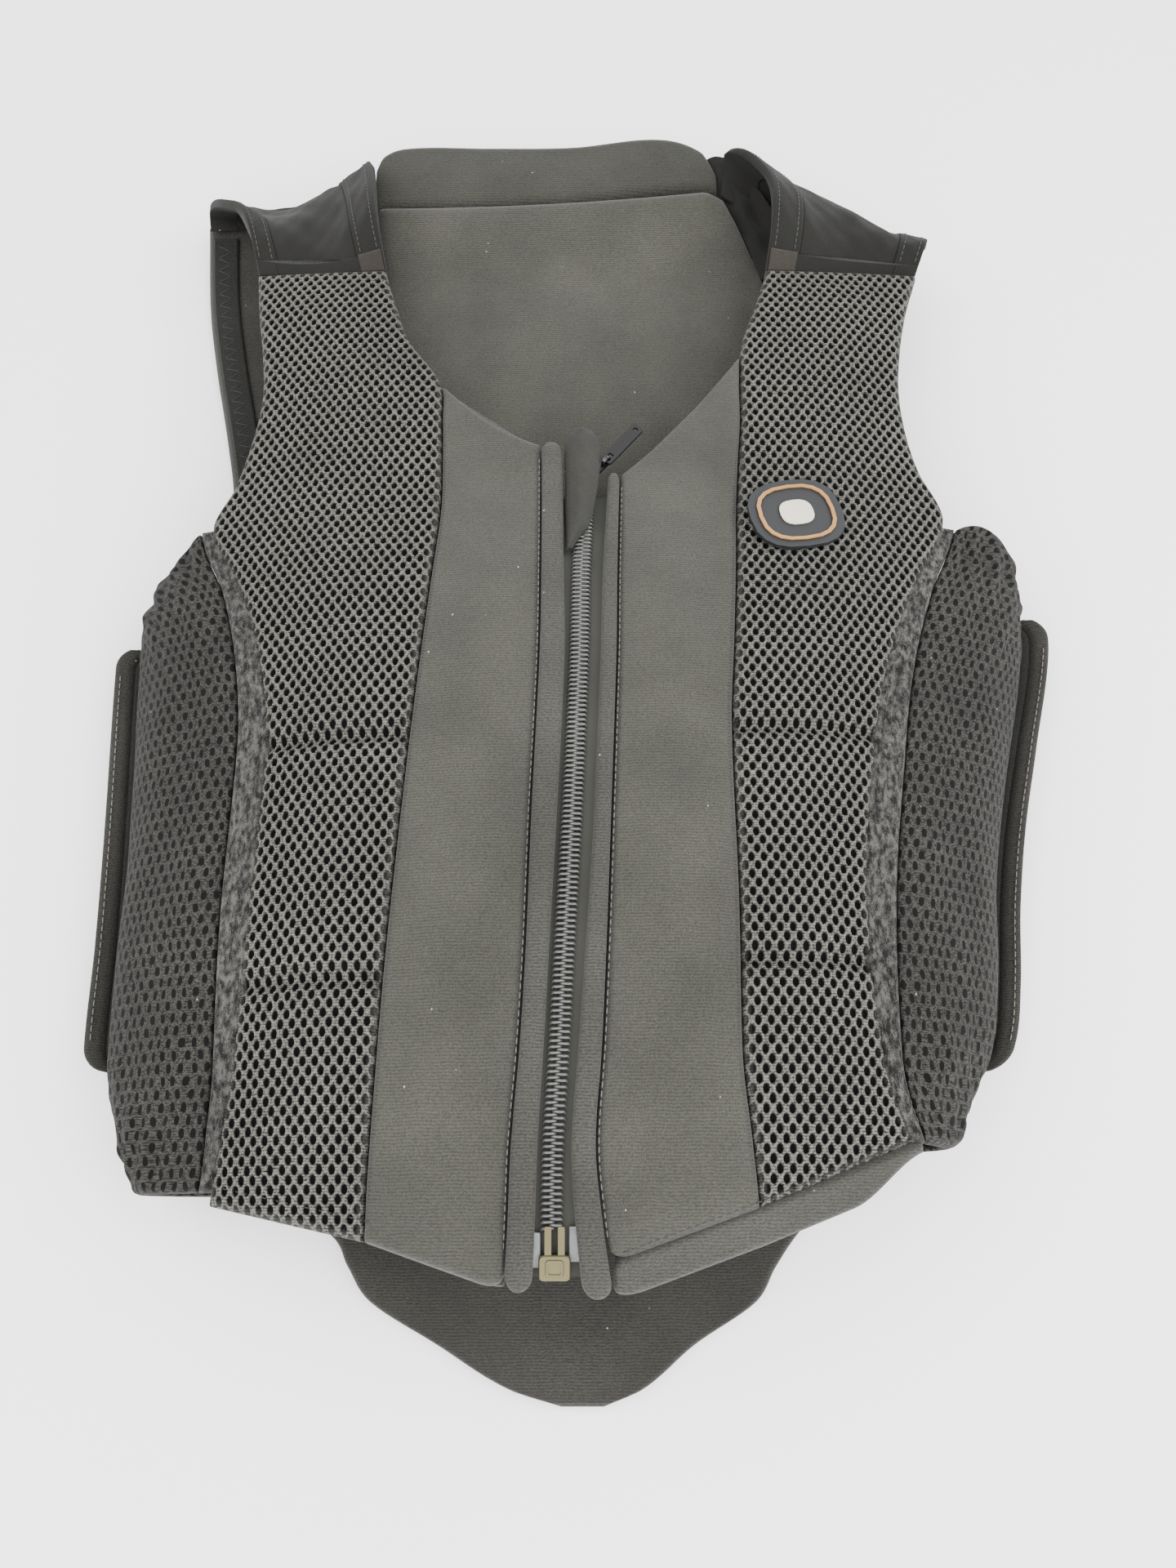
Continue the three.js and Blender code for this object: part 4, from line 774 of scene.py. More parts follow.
class Graph:
    """Node tree written as operations on sockets and constant values."""

    def __init__(self, tree: bpy.types.NodeTree) -> None:
        """Keeps the tree.

        Args:
            tree: The node tree.
        """
        self.tree = tree

    def node(
        self, kind: str, inputs: dict[int | str, Input], output: int | str = 0, **settings: object
    ) -> Socket:
        """Adds a node.

        Args:
            kind: Its type.
            inputs: Sockets or constant values by input.
            output: The output that is wanted.
            settings: Its properties by name.

        Returns:
            The output's socket.
        """
        node = self.tree.nodes.new(kind)
        for key, value in settings.items():
            setattr(node, key, value)
        for key, value in inputs.items():
            if isinstance(value, Socket):
                self.tree.links.new(value, node.inputs[key])
            else:
                node.inputs[key].default_value = value
        return node.outputs[output]

    def math(self, operation: str, a: Input, b: Input = 0.0, clamp: bool = False) -> Socket:
        """Adds a math node.

        Args:
            operation: The operation.
            a: First value.
            b: Second value.
            clamp: Whether the result is clipped to 0 and 1.

        Returns:
            The result's socket.
        """
        return self.node("ShaderNodeMath", {0: a, 1: b}, operation=operation, use_clamp=clamp)

    def plus(self, a: Input, b: Input, clamp: bool = False) -> Socket:
        """Adds two values.

        Args:
            a: First value.
            b: Second value.
            clamp: Whether the sum is clipped to 0 and 1.

        Returns:
            The sum's socket.
        """
        return self.math("ADD", a, b, clamp)

    def times(self, a: Input, b: Input, clamp: bool = False) -> Socket:
        """Multiplies two values.

        Args:
            a: First value.
            b: Second value.
            clamp: Whether the product is clipped to 0 and 1.

        Returns:
            The product's socket.
        """
        return self.math("MULTIPLY", a, b, clamp)

    def noise(self, vector: Socket, scale: float, detail: float) -> Socket:
        """Adds a noise texture.

        Args:
            vector: Its coordinates.
            scale: Its scale.
            detail: Its detail.

        Returns:
            The value's socket.
        """
        inputs = {"Scale": scale, "Detail": detail, "Vector": vector}
        return self.node("ShaderNodeTexNoise", inputs, "Fac")

    def grain(
        self, vector: Socket, scale: float, gain: float, stretch: tuple[float, float] = (1.0, 1.0)
    ) -> Socket:
        """Adds a noise round zero, drawn out across or along the cloth.

        Args:
            vector: Coordinates, millimetres.
            scale: Scale of the noise.
            gain: How far it swings.
            stretch: Factors on the places across and along.

        Returns:
            The value's socket.
        """
        inputs = {0: vector, 1: (*stretch, 1.0)}
        drawn = self.node("ShaderNodeVectorMath", inputs, operation="MULTIPLY")
        return self.times(self.math("SUBTRACT", self.noise(drawn, scale, 3.0), 0.5), gain)

    def part(self, vector: Socket, axis: int) -> Socket:
        """Takes one part of cloth coordinates.

        Args:
            vector: The coordinates.
            axis: 0 across, 1 along, 2 the distance to the edge.

        Returns:
            The part's socket.
        """
        return self.node("ShaderNodeSeparateXYZ", {0: vector}, axis)

    def wave(self, place: Socket, pitch: float) -> Socket:
        """Adds a wave from 0 to 1.

        Args:
            place: Place along the wave.
            pitch: Distance between crests.

        Returns:
            The wave's socket.
        """
        sine = self.math("SINE", self.times(place, 2.0 * math.pi / pitch))
        return self.plus(self.times(sine, 0.5), 0.5)

    def holes(
        self,
        place: tuple[Socket, Socket],
        pitch: tuple[float, float],
        hole: tuple[float, float],
        power: tuple[float, float],
    ) -> Socket:
        """Distance from the nearest hole of two shifted lattices, 1 on the hole's edge.

        Args:
            place: Sockets across and along.
            pitch: Distances between holes.
            hole: Half sizes of a hole as shares of the pitch.
            power: Roundness of the hole across and along.

        Returns:
            The distance's socket.
        """
        rows = []
        for shift in (0.0, 0.5):
            parts = []
            for socket, step, size, shape in zip(place, pitch, hole, power):
                share = self.plus(self.math("DIVIDE", socket, step), shift + POSITIVE)
                local = self.math("SUBTRACT", self.math("FRACT", share), 0.5)
                scaled = self.math("DIVIDE", self.math("ABSOLUTE", local), size)
                parts.append(self.math("POWER", scaled, shape))
            rows.append(self.plus(*parts))
        return self.math("MINIMUM", *rows)


class NodeGroups:
    """Shader node groups for the patterns of the cloths."""

    def __init__(self) -> None:
        """Builds every group."""
        self.groups = {
            "ribs": self.make("cloth_ribs", self.ribs),
            "twill": self.make("cloth_twill", self.twill),
            "spacer": self.make("spacer_mesh", self.spacer),
            "perforation": self.make("perforated_cloth", self.perforation),
            "fuzz": self.make("crushed_mesh", self.fuzz),
            "lint": self.make("lint_specks", self.lint),
        }

    @staticmethod
    def make(name: str, pattern: Callable[[Graph, Socket], Socket]) -> bpy.types.NodeTree:
        """Makes a group with cloth coordinates in and a mask out.

        Args:
            name: The group's name.
            pattern: Writes the nodes between them.

        Returns:
            The group.
        """
        tree = bpy.data.node_groups.new(name, "ShaderNodeTree")
        tree.interface.new_socket("Cloth", in_out="INPUT", socket_type="NodeSocketVector")
        tree.interface.new_socket("Mask", in_out="OUTPUT", socket_type="NodeSocketFloat")
        cloth = tree.nodes.new("NodeGroupInput").outputs[0]
        mask = tree.nodes.new("NodeGroupOutput").inputs[0]
        tree.links.new(pattern(Graph(tree), cloth), mask)
        return tree

    @staticmethod
    def ribs(graph: Graph, cloth: Socket) -> Socket:
        """Fine cross ribs with a little unevenness.

        Args:
            graph: The group's tree.
            cloth: Cloth coordinates.

        Returns:
            The mask's socket.
        """
        wobble = graph.times(graph.noise(cloth, 0.08, 3.0), 1.5)
        rib = graph.wave(graph.plus(graph.part(cloth, 1), wobble), 1.2)
        yarn = graph.wave(graph.part(cloth, 0), 0.55)
        grain = graph.grain(cloth, 1.3, 2.4, (0.7, 1.0))
        total = graph.plus(graph.times(rib, 0.5), graph.times(yarn, 0.12))
        return graph.plus(total, graph.plus(grain, 0.22), True)

    @staticmethod
    def twill(graph: Graph, cloth: Socket) -> Socket:
        """Diagonal twill.

        Args:
            graph: The group's tree.
            cloth: Cloth coordinates.

        Returns:
            The mask's socket.
        """
        along = graph.part(cloth, 1)
        line = graph.wave(graph.plus(graph.part(cloth, 0), graph.times(along, 0.7)), 0.85)
        cross = graph.wave(along, 0.5)
        grain = graph.grain(cloth, 1.4, 1.8)
        total = graph.plus(graph.times(line, 0.55), graph.times(cross, 0.15))
        return graph.plus(total, graph.plus(grain, 0.2), True)

    @staticmethod
    def spacer(graph: Graph, cloth: Socket) -> Socket:
        """Spacer mesh: 1 on the yarn, 0 in the almond holes, closed at the panel's rim.

        Args:
            graph: The group's tree.
            cloth: Cloth coordinates.

        Returns:
            The mask's socket.
        """
        place = (graph.part(cloth, 0), graph.part(cloth, 1))
        pitch = (MESH_PITCH_ACROSS, MESH_PITCH_ALONG)
        nearest = graph.holes(place, pitch, MESH_HOLE, MESH_HOLE_POWER)
        yarn = graph.times(graph.math("SUBTRACT", nearest, 0.8), 1.7, True)
        knit = graph.times(graph.wave(place[1], 1.05), 0.45)
        texture = graph.plus(graph.plus(knit, graph.grain(cloth, 1.1, 2.6)), 0.5, True)
        inside = graph.math("DIVIDE", graph.part(cloth, 2), MESH_RIM, True)
        rim = graph.times(graph.math("SUBTRACT", 1.0, inside), 0.4)
        return graph.times(graph.math("MAXIMUM", yarn, rim), texture)

    @staticmethod
    def perforation(graph: Graph, cloth: Socket) -> Socket:
        """Perforated stretch cloth: small upright slots in a loose lattice.

        Args:
            graph: The group's tree.
            cloth: Cloth coordinates.

        Returns:
            The mask's socket.
        """
        bent = graph.times(graph.noise(cloth, 0.05, 1.0), 6.0)
        along = graph.part(cloth, 1)
        place = (graph.plus(graph.part(cloth, 0), bent), along)
        nearest = graph.holes(place, SLOT_PITCH, SLOT_HOLE, SLOT_POWER)
        sheet = graph.times(graph.math("SUBTRACT", nearest, 0.85), 4.0, True)
        slub = graph.times(graph.wave(along, 0.9), 0.25)
        grain = graph.grain(cloth, 0.9, 3.2, (0.35, 1.5))
        return graph.times(sheet, graph.plus(graph.plus(slub, grain), 0.5, True))

    @staticmethod
    def fuzz(graph: Graph, cloth: Socket) -> Socket:
        """Crushed, fuzzy mesh.

        Args:
            graph: The group's tree.
            cloth: Cloth coordinates.

        Returns:
            The mask's socket.
        """
        coarse = graph.grain(cloth, 0.36, 5.0, (1.0, 0.7))
        return graph.plus(graph.plus(coarse, graph.grain(cloth, 1.7, 2.6)), 0.55, True)

    @staticmethod
    def lint(graph: Graph, cloth: Socket) -> Socket:
        """Sparse pale specks.

        Args:
            graph: The group's tree.
            cloth: Cloth coordinates.

        Returns:
            The mask's socket.
        """
        inputs = {"Scale": 0.09, "Vector": cloth}
        bits = graph.node("ShaderNodeTexVoronoi", inputs, "Distance")
        speck = graph.times(graph.math("SUBTRACT", 0.045, bits), 60.0, True)
        rare = graph.math("SUBTRACT", graph.noise(cloth, 0.02, 1.0), 0.5)
        return graph.times(speck, graph.times(rare, 12.0, True))


class Materials:
    """Blender materials made from the finishes."""

    def __init__(self, groups: NodeGroups) -> None:
        """Keeps the groups.

        Args:
            groups: The shared node groups.
        """
        self.groups = groups.groups
        self.made: dict[str, bpy.types.Material] = {}
        self.slots: dict[str, str] = {}

    def get(self, name: str) -> bpy.types.Material:
        """Material of a finish, made when first asked for.

        Args:
            name: The finish's name.

        Returns:
            The material.
        """
        if name not in self.made:
            self.made[name] = self.build(name, FINISHES[name])
        return self.made[name]

    def build(self, name: str, finish: Finish) -> bpy.types.Material:
        """Builds the node tree of a finish.

        Args:
            name: The finish's name.
            finish: The finish.

        Returns:
            The material.
        """
        material = bpy.data.materials.new(f"finish_{name}")
        self.slots[material.name] = finish.slot
        material.use_nodes = True
        graph = Graph(material.node_tree)
        shader = material.node_tree.nodes["Principled BSDF"]
        shader.inputs["Roughness"].default_value = finish.roughness
        shader.inputs["Metallic"].default_value = finish.metallic
        shader.inputs["Sheen Weight"].default_value = finish.sheen
        shader.inputs["Sheen Roughness"].default_value = 0.5
        shader.inputs["Specular IOR Level"].default_value = 0.15 if finish.pattern else 0.5
        shader.inputs["Coat Weight"].default_value = finish.coat
        shader.inputs["Base Color"].default_value = (*finish.colour, 1.0)
        tone = self.tone(graph, 0.35 if finish.sheen else 0.2)
        if finish.pattern:
            cloth = graph.node("ShaderNodeAttribute", {}, "Vector", attribute_name="cloth")
            mask = self.masked(graph, finish.pattern, cloth)
            # Painted shade: the pattern's low parts, its grooves and holes, are darkened in the
            # base colour, on top of the yarn's own tone.
            shaded = {"To Min": 1.0 - finish.pattern_tone_and_shade, "To Max": 1.12, "Value": mask}
            tone = graph.times(graph.node("ShaderNodeMapRange", shaded), tone)
            base = self.scaled(graph, finish.colour, tone)
            amount = graph.times(self.masked(graph, "lint", cloth), finish.lint)
            inputs = {0: amount, 6: base, 7: LINT_COLOUR}
            colour = graph.node("ShaderNodeMix", inputs, 2, data_type="RGBA")
            relief = {"Strength": 0.9, "Distance": finish.pattern_depth, "Height": mask}
            bump = graph.node("ShaderNodeBump", relief)
            graph.tree.links.new(bump, shader.inputs["Normal"])
        else:
            colour = self.scaled(graph, finish.colour, tone)
        graph.tree.links.new(colour, shader.inputs["Base Color"])
        return material

    def masked(self, graph: Graph, pattern: str, cloth: Socket) -> Socket:
        """Mask of a pattern group.

        Args:
            graph: The material's tree.
            pattern: The pattern's name.
            cloth: Cloth coordinates.

        Returns:
            The mask's socket.
        """
        return graph.node("ShaderNodeGroup", {0: cloth}, node_tree=self.groups[pattern])

    @staticmethod
    def tone(graph: Graph, spread: float) -> Socket:
        """Slow change of tone over the surface.

        Args:
            graph: The material's tree.
            spread: How far the tone changes.

        Returns:
            A socket round 1.
        """
        place = graph.node("ShaderNodeTexCoord", {}, "Object")
        inputs = {
            "From Min": 0.3, "From Max": 0.7, "To Min": 1.0 - spread / 2.0,
            "To Max": 1.0 + spread / 2.0, "Value": graph.noise(place, 22.0, 4.0),
        }
        return graph.node("ShaderNodeMapRange", inputs)

    @staticmethod
    def scaled(graph: Graph, colour: tuple[float, float, float], factor: Socket) -> Socket:
        """Colour times a factor.

        Args:
            graph: The material's tree.
            colour: The colour.
            factor: The factor's socket.

        Returns:
            The colour's socket.
        """
        inputs = {0: colour, "Scale": factor}
        return graph.node("ShaderNodeVectorMath", inputs, operation="SCALE")


@dataclass
class Piece:
    """What every sub-assembly works with.

    Attributes:
        garment: The shared sewing lines.
        builder: The mesh writer.
        materials: The finishes.
    """

    garment: Garment
    builder: ClothBuilder
    materials: Materials

    def stand(self, obj: bpy.types.Object, node: str = "", fill: float = 0.0) -> None:
        """Puts a piece in the place of its CAD node.

        Args:
            obj: The piece.
            node: The CAD node's name, empty for an added detail.
            fill: Fullness of a padded piece, 0 for one that isn't padded; not used.
        """
        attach(obj, "vest")
        if node:
            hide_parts(node)

    def tubes(self, name: str, node: str, rings: Array, finish: str) -> None:
        """Piece made of tubes.

        Args:
            name: The piece's name.
            node: The CAD node's name, or empty.
            rings: Points by tube, ring and place round it.
            finish: Its finish.
        """
        self.stand(self.builder.tubes(name, rings, self.materials.get(finish)), node)

    def layer(
        self,
        name: str,
        node: str,
        faces: tuple[Array, Array, Array],
        finish: str,
        under: int = 6,
        fill: float = 0.0,
    ) -> bpy.types.Object:
        """Thick cloth between an outer and an inner grid.

        Args:
            name: The piece's name.
            node: The CAD node's name, or empty.
            faces: Outer points, inner points and cloth coordinates, by row and column.
            finish: Its finish.
            under: Number of columns kept on the inner side.
            fill: Fullness of a padded piece.

        Returns:
            The object.
        """
        outer, inner, cloth = faces
        kept = np.unique(np.round(np.linspace(outer.shape[1] - 1, 0, under)).astype(int))[::-1]
        rings = np.concatenate([outer, inner[:, kept]], axis=1)
        coordinates = np.concatenate([cloth, cloth[:, kept]], axis=1)
        obj = self.builder.loft(name, rings, self.materials.get(finish), coordinates)
        self.stand(obj, node, fill)
        return obj

    def pad(
        self,
        names: tuple[str, str],
        place: tuple[Array, Array, Array],
        thickness: float,
        edge: float,
        finish: str,
        bulge: float = 0.0,
        relief: Array | float = 0.0,
        under: float = 0.45,
        fill: float = 0.8,
    ) -> None:
        """Pad whose outside follows a height and falls off at its edges.

        Args:
            names: The piece's name and its CAD node's.
            place: Places across and along and heights of the outside, by row and column.
            thickness: Thickness of the pad.
            edge: Radius of its edges.
            finish: Its finish.
            bulge: Swell of its middle.
            relief: Extra height.
            under: Radius below as a share of the radius above.
            fill: Its fullness.
        """
        x, y, z = place
        distance = edge_distance(x, y)
        span = np.hypot(x[:, -1:] - x[:, :1], y[:, -1:] - y[:, :1])
        swell = bulge * smooth(distance / np.maximum(span / 2.0, 1.0))
        top = z + swell - roll(distance, edge) + relief
        low = z - thickness + roll(distance, edge * under)
        faces = (grid(x, y, top), grid(x, y, low), grid(x, y, distance))
        self.layer(*names, faces, finish, 6, fill)

    def cut_to(
        self,
        obj: bpy.types.Object,
        outer: Array,
        held: str,
        rests_on: Sequence[str],
        pieces: Sequence[bpy.types.Object] = (),
    ) -> None:
        """Takes a sheet of cloth and does nothing with it.

        Args:
            obj: The sheet; not used.
            outer: Its outer points, by row and column; not used.
            held: How it is held; not used.
            rests_on: What it lies on or hangs from; not used.
            pieces: What is sewn on it; not used.
        """


@dataclass
class Sewing(Piece):
    """Stitches of thread lying on the cloth.

    Attributes:
        radius: Half thickness of the thread.
    """

    radius: float = 0.26

    def threads(self, name: str, starts: Array, ends: Array, ups: Array, finish: str) -> None:
        """One short rounded thread between each pair of points.

        Args:
            name: The piece's name.
            starts: First points.
            ends: Last points.
            ups: Ways out of the cloth.
            finish: Its finish.
        """
        along = np.array([0.0, 0.2, 0.8, 1.0])
        girth = np.array([0.4, 1.0, 1.0, 0.4]) * self.radius
        sunk = np.array([-0.3, 0.0, 0.0, -0.3])
        angle = np.linspace(0.0, 2.0 * np.pi, 6)[:-1][None, :, None]
        way = unit(ends - starts)
        beside = unit(np.cross(ups, way))
        rise = np.cross(way, beside)
        spine = mix(starts[:, None], ends[:, None], along[None, :, None])
        spine = spine + rise[:, None] * sunk[None, :, None]
        ring = np.cos(angle) * beside[:, None] + np.sin(angle) * rise[:, None]
        rings = spine[:, :, None] + girth[None, :, None, None] * ring[:, None]
        self.tubes(name, "", rings, finish)

    @staticmethod
    def spread(path: Array, ups: Array, pitch: float) -> tuple[Array, Array, Array]:
        """Even places along a path.

        Args:
            path: Points of the path.
            ups: Ways out of the cloth at them.
            pitch: Distance between places.

        Returns:
            Points, ways along and ways out.
        """
        run = run_of(path)
        spots = np.arange(pitch / 2.0, run[-1] - pitch / 2.0, pitch)
        at = follow(spots, run, path)
        return at, unit(follow(spots + 0.5, run, path) - at), follow(spots, run, ups)

    def row(self, name: str, path: Array, ups: Array, pitch: float, finish: str) -> None:
        """Row of stitches end to end along a path.

        Args:
            name: The piece's name.
            path: Points of the path.
            ups: Ways out of the cloth at them.
            pitch: Distance between stitches.
            finish: Its finish.
        """
        at, way, out = self.spread(path, ups, pitch)
        reach = 0.39 * pitch
        self.threads(name, at - reach * way, at + reach * way, out, finish)

    def ticks(self, name: str, path: Array, ups: Array, length: float) -> None:
        """Row of short stitches across a path.

        Args:
            name: The piece's name.
            path: Points of the path.
            ups: Ways out of the cloth at them.
            length: Their length.
        """
        at, way, out = self.spread(path, ups, TICK_PITCH)
        side = np.cross(out, way) * length / 2.0
        self.threads(name, at - side, at + side, out, "tick")

    def zigzag(self, name: str, path: Array, ups: Array, pitch: float, width: float) -> None:
        """Zigzag of dark thread along a path.

        Args:
            name: The piece's name.
            path: Points of the path.
            ups: Ways out of the cloth at them.
            pitch: Distance between turns.
            width: Width of the zigzag.
        """
        at, way, out = self.spread(path, ups, pitch)
        swing = np.where(np.arange(len(at)) % 2, 0.5, -0.5)[:, None] * width
        turns = at + np.cross(out, way) * swing
        self.threads(name, turns[:-1], turns[1:], out[:-1], "dark_thread")

    def on_front(self, x: Array, y: Array, sink: float) -> tuple[Array, Array]:
        """Path lying on the front.

        Args:
            x: Places across.
            y: Places along.
            sink: How far it lies below the front's height.

        Returns:
            Points and ways out.
        """
        height = self.garment.height
        slope_x = (height(x + 1.0, y) - height(x - 1.0, y)) / 2.0
        slope_y = (height(x, y + 1.0) - height(x, y - 1.0)) / 2.0
        return grid(x, y, height(x, y) - sink), unit(grid(-slope_x, -slope_y, 1.0))

    def build(self) -> None:
        """Sews every row of the front, the wings and the back."""
        for side in SIDES:
            self.front(side)
            self.flank(side)
            self.back(side)

    def front(self, side: str) -> None:
        """Rows beside the zip, the mesh and the hem.

        Args:
            side: left or right.
        """
        sign = SIGN[side]
        rows = np.linspace(HEM_SEAM[side] * LENGTH + 9.0, NECK_SEAM[side] * LENGTH - 5.0, 500)
        x, y = self.garment.spot(side, rows, "zip")
        path = self.on_front(x + sign * WELT_ROW.inset, y, WELT_ROW.sink)
        self.row(f"stitches_welt_{side}", *path, WELT_ROW.size, "thread")
        path = self.on_front(x + sign * WELT_TICKS.inset, y, WELT_TICKS.sink)
        self.ticks(f"ticks_welt_{side}", *path, WELT_TICKS.size)
        x, y = self.garment.spot(side, rows, "seam")
        path = self.on_front(x - sign * SEAM_TICKS.inset, y, SEAM_TICKS.sink)
        self.ticks(f"ticks_seam_{side}", *path, SEAM_TICKS.size)
        x, y = Hems(self.garment, self.builder, self.materials).line(side)[4:-2].T
        path = self.on_front(x, y + (HEM_WIDTH[side] + HEM_ROW.inset), HEM_ROW.sink)
        self.row(f"stitches_hem_{side}", *path, HEM_ROW.size, "dark_thread")

    def flank(self, side: str) -> None:
        """Rows beside the seam band and on the wing.

        Args:
            side: left or right.
        """
        sign = SIGN[side]
        y = Flanks(self.garment, self.builder, self.materials).rows(side, 400)[12:-12]
        edge = HALF_WIDTH * self.garment.edge[side](y / LENGTH)
        width = self.garment.band_width(side, y)
        for name, row in BAND_ROWS.items():
            path = self.on_front(edge + sign * row.inset * width, y, row.sink)
            self.row(f"stitches_band_{name}_{side}", *path, row.size, "dark_thread")
        along = np.linspace(WING_START + 0.02, WING_END[side] - 0.02, 300)
        fold = np.abs(HALF_WIDTH * self.garment.fold[side](along))
        path = grid(sign * (fold + WING_REACH - WING_ROW.inset), along * LENGTH, WING_TOP)
        self.row(f"stitches_wing_{side}", path, UP + 0.0 * path, WING_ROW.size, "thread")

    def back(self, side: str) -> None:
        """Zigzag on the armhole binding of the back.

        Args:
            side: left or right.
        """
        along = np.linspace(0.645, {"left": 0.9, "right": 0.83}[side], 200)
        middle = ARM_BINDING_INSET + ARM_BINDING_WIDTH / 2.0 - 0.5
        line = HALF_WIDTH * self.garment.back[side](along) - SIGN[side] * middle
        z = BACK_SHELL + GAP + ARM_BINDING + back_rise(along * LENGTH) + 0.1
        path = grid(line, along * LENGTH, z)
        self.zigzag(f"zigzag_{side}", path, UP + 0.0 * path, *ZIGZAG)


@dataclass
class FrontPanels(Piece):
    """Smooth and mesh panels beside the zip."""

    def panel(self, side: str, panel: Panel, rows: Array, columns: Array) -> tuple[Array, Array]:
        """Places of a front panel.

        Args:
            side: left or right.
            panel: Which panel.
            rows: Row places.
            columns: Column shares.

        Returns:
            Places across and along, by row and column.
        """
        inset = SIGN[side] * GAP / 2.0
        raised = side == "right"
        start, end = (self.garment.spot(side, rows, line, raised) for line in panel.value)
        x = mix((start[0] + inset)[:, None], (end[0] - inset)[:, None], columns[None, :])
        y = mix(start[1][:, None], end[1][:, None], columns[None, :])
        return x, y

    def build(self) -> None:
        """Builds the four panels."""
        for side in SIDES:
            self.centre(side)
            self.mesh(side)

    def centre(self, side: str) -> None:
        """Smooth centre panel.

        Args:
            side: left or right.
        """
        neck = NECK_SEAM[side] * LENGTH
        rows = mix(HEM_SEAM[side] * LENGTH, neck, crowded(CENTRE_STEPS[0]))
        columns = crowded(CENTRE_STEPS[1])
        x, y = self.panel(side, Panel.CENTRE, rows, columns)
        sag = NECK_SAG * np.sin(np.pi * columns)[None, :]
        y = y - sag * smooth(1.0 - (neck - rows) / NECK_FADE)[:, None]
        corner = 0.7 * roll(np.abs(x - x[:, :1]), 9.0)
        y = y + corner * smooth(1.0 - (rows - rows[0]) / 30.0)[:, None]
        waves = 0.5 * ripple(x, y, 95.0, 1.0) + 0.12 * ripple(x, y, 24.0, 3.0)
        self.pad(
            (f"centre_{side}", f"front_centre_{side}"), (x, y, self.garment.height(x, y)),
            FRONT_PAD, 3.5, "smooth", 1.2, smooth(edge_distance(x, y) / 14.0) * waves,
        )

    def mesh(self, side: str) -> None:
        """Spacer-mesh panel with its grooves and dished holes.

        Args:
            side: left or right.
        """
        rows = mix(HEM_SEAM[side] * LENGTH, SHOULDER * LENGTH, crowded(MESH_STEPS[0]))
        x, y = self.panel(side, Panel.MESH, rows, crowded(MESH_STEPS[1]))
        distance = edge_distance(x, y)
        holes = MESH_HOLE_DEPTH * pattern_holes(x, y) * smooth(distance / 5.0)
        lumps = 0.5 * ripple(x, y, 46.0, 2.0) * smooth(distance / 16.0)
        self.pad(
            (f"mesh_{side}", f"front_mesh_{side}"), (x, y, self.garment.height(x, y)),
            FRONT_PAD, 5.0, "mesh", PAD_BULGE, lumps - self.garment.groove(side, y) - holes,
            fill=0.75,
        )


@dataclass
class Hems(Piece):
    """Facings under the front's lower edge."""

    def build(self) -> None:
        """Builds both facings."""
        for side in SIDES:
            self.facing(side)

    def line(self, side: str, count: int = 160) -> Array:
        """The hem line from the zip to the mesh edge.

        Args:
            side: left or right.
            count: Number of places.

        Returns:
            Places across and along, a row for each.
        """
        row = np.array([HEM_SEAM[side] * LENGTH])
        corners = np.array([
            np.ravel(self.garment.spot(side, row, name, raised=False))
            for name in ("zip", "seam", "edge")
        ])
        corners[0, 0] += SIGN[side] * GAP
        run = run_of(corners)
        return follow(np.linspace(0.0, run[-1], count), run, corners)

    def facing(self, side: str) -> None:
        """One facing; the left one lies almost wholly under its panel.

        Args:
            side: left or right.
        """
        line = self.line(side)
        near = np.hypot(*(line - line[0]).T)
        hidden = {"left": 1.5, "right": 0.0}[side]
        low = hidden - FACING_LAP + HEM_WIDTH[side] * (0.4 * roll(near, 12.0) / 12.0)
        low = low + HEM_WIDTH[side] * 0.8 * smooth(1.0 - (near[-1] - near) / 30.0)
        steps = mix(low[:, None], HEM_WIDTH[side] + 6.0, crowded(26)[None, :])
        x, y = line[:, :1] + 0.0 * steps, line[:, 1:] + steps
        tucked = 6.0 * smooth((steps - HEM_WIDTH[side] + 2.0) / 6.0)
        top = self.garment.height(x, y) - FACING_SINK - 1.5 * hidden - tucked
        waves = 0.25 * ripple(x, y * 1.5, 23.0, 2.0) * smooth(edge_distance(x, y) / 3.0)
        self.pad(
            (f"hem_{side}", f"hem_facing_{side}"), (x, y, top), FACING_PAD - 2.0, 2.4, "binding",
            0.3, waves,
        )


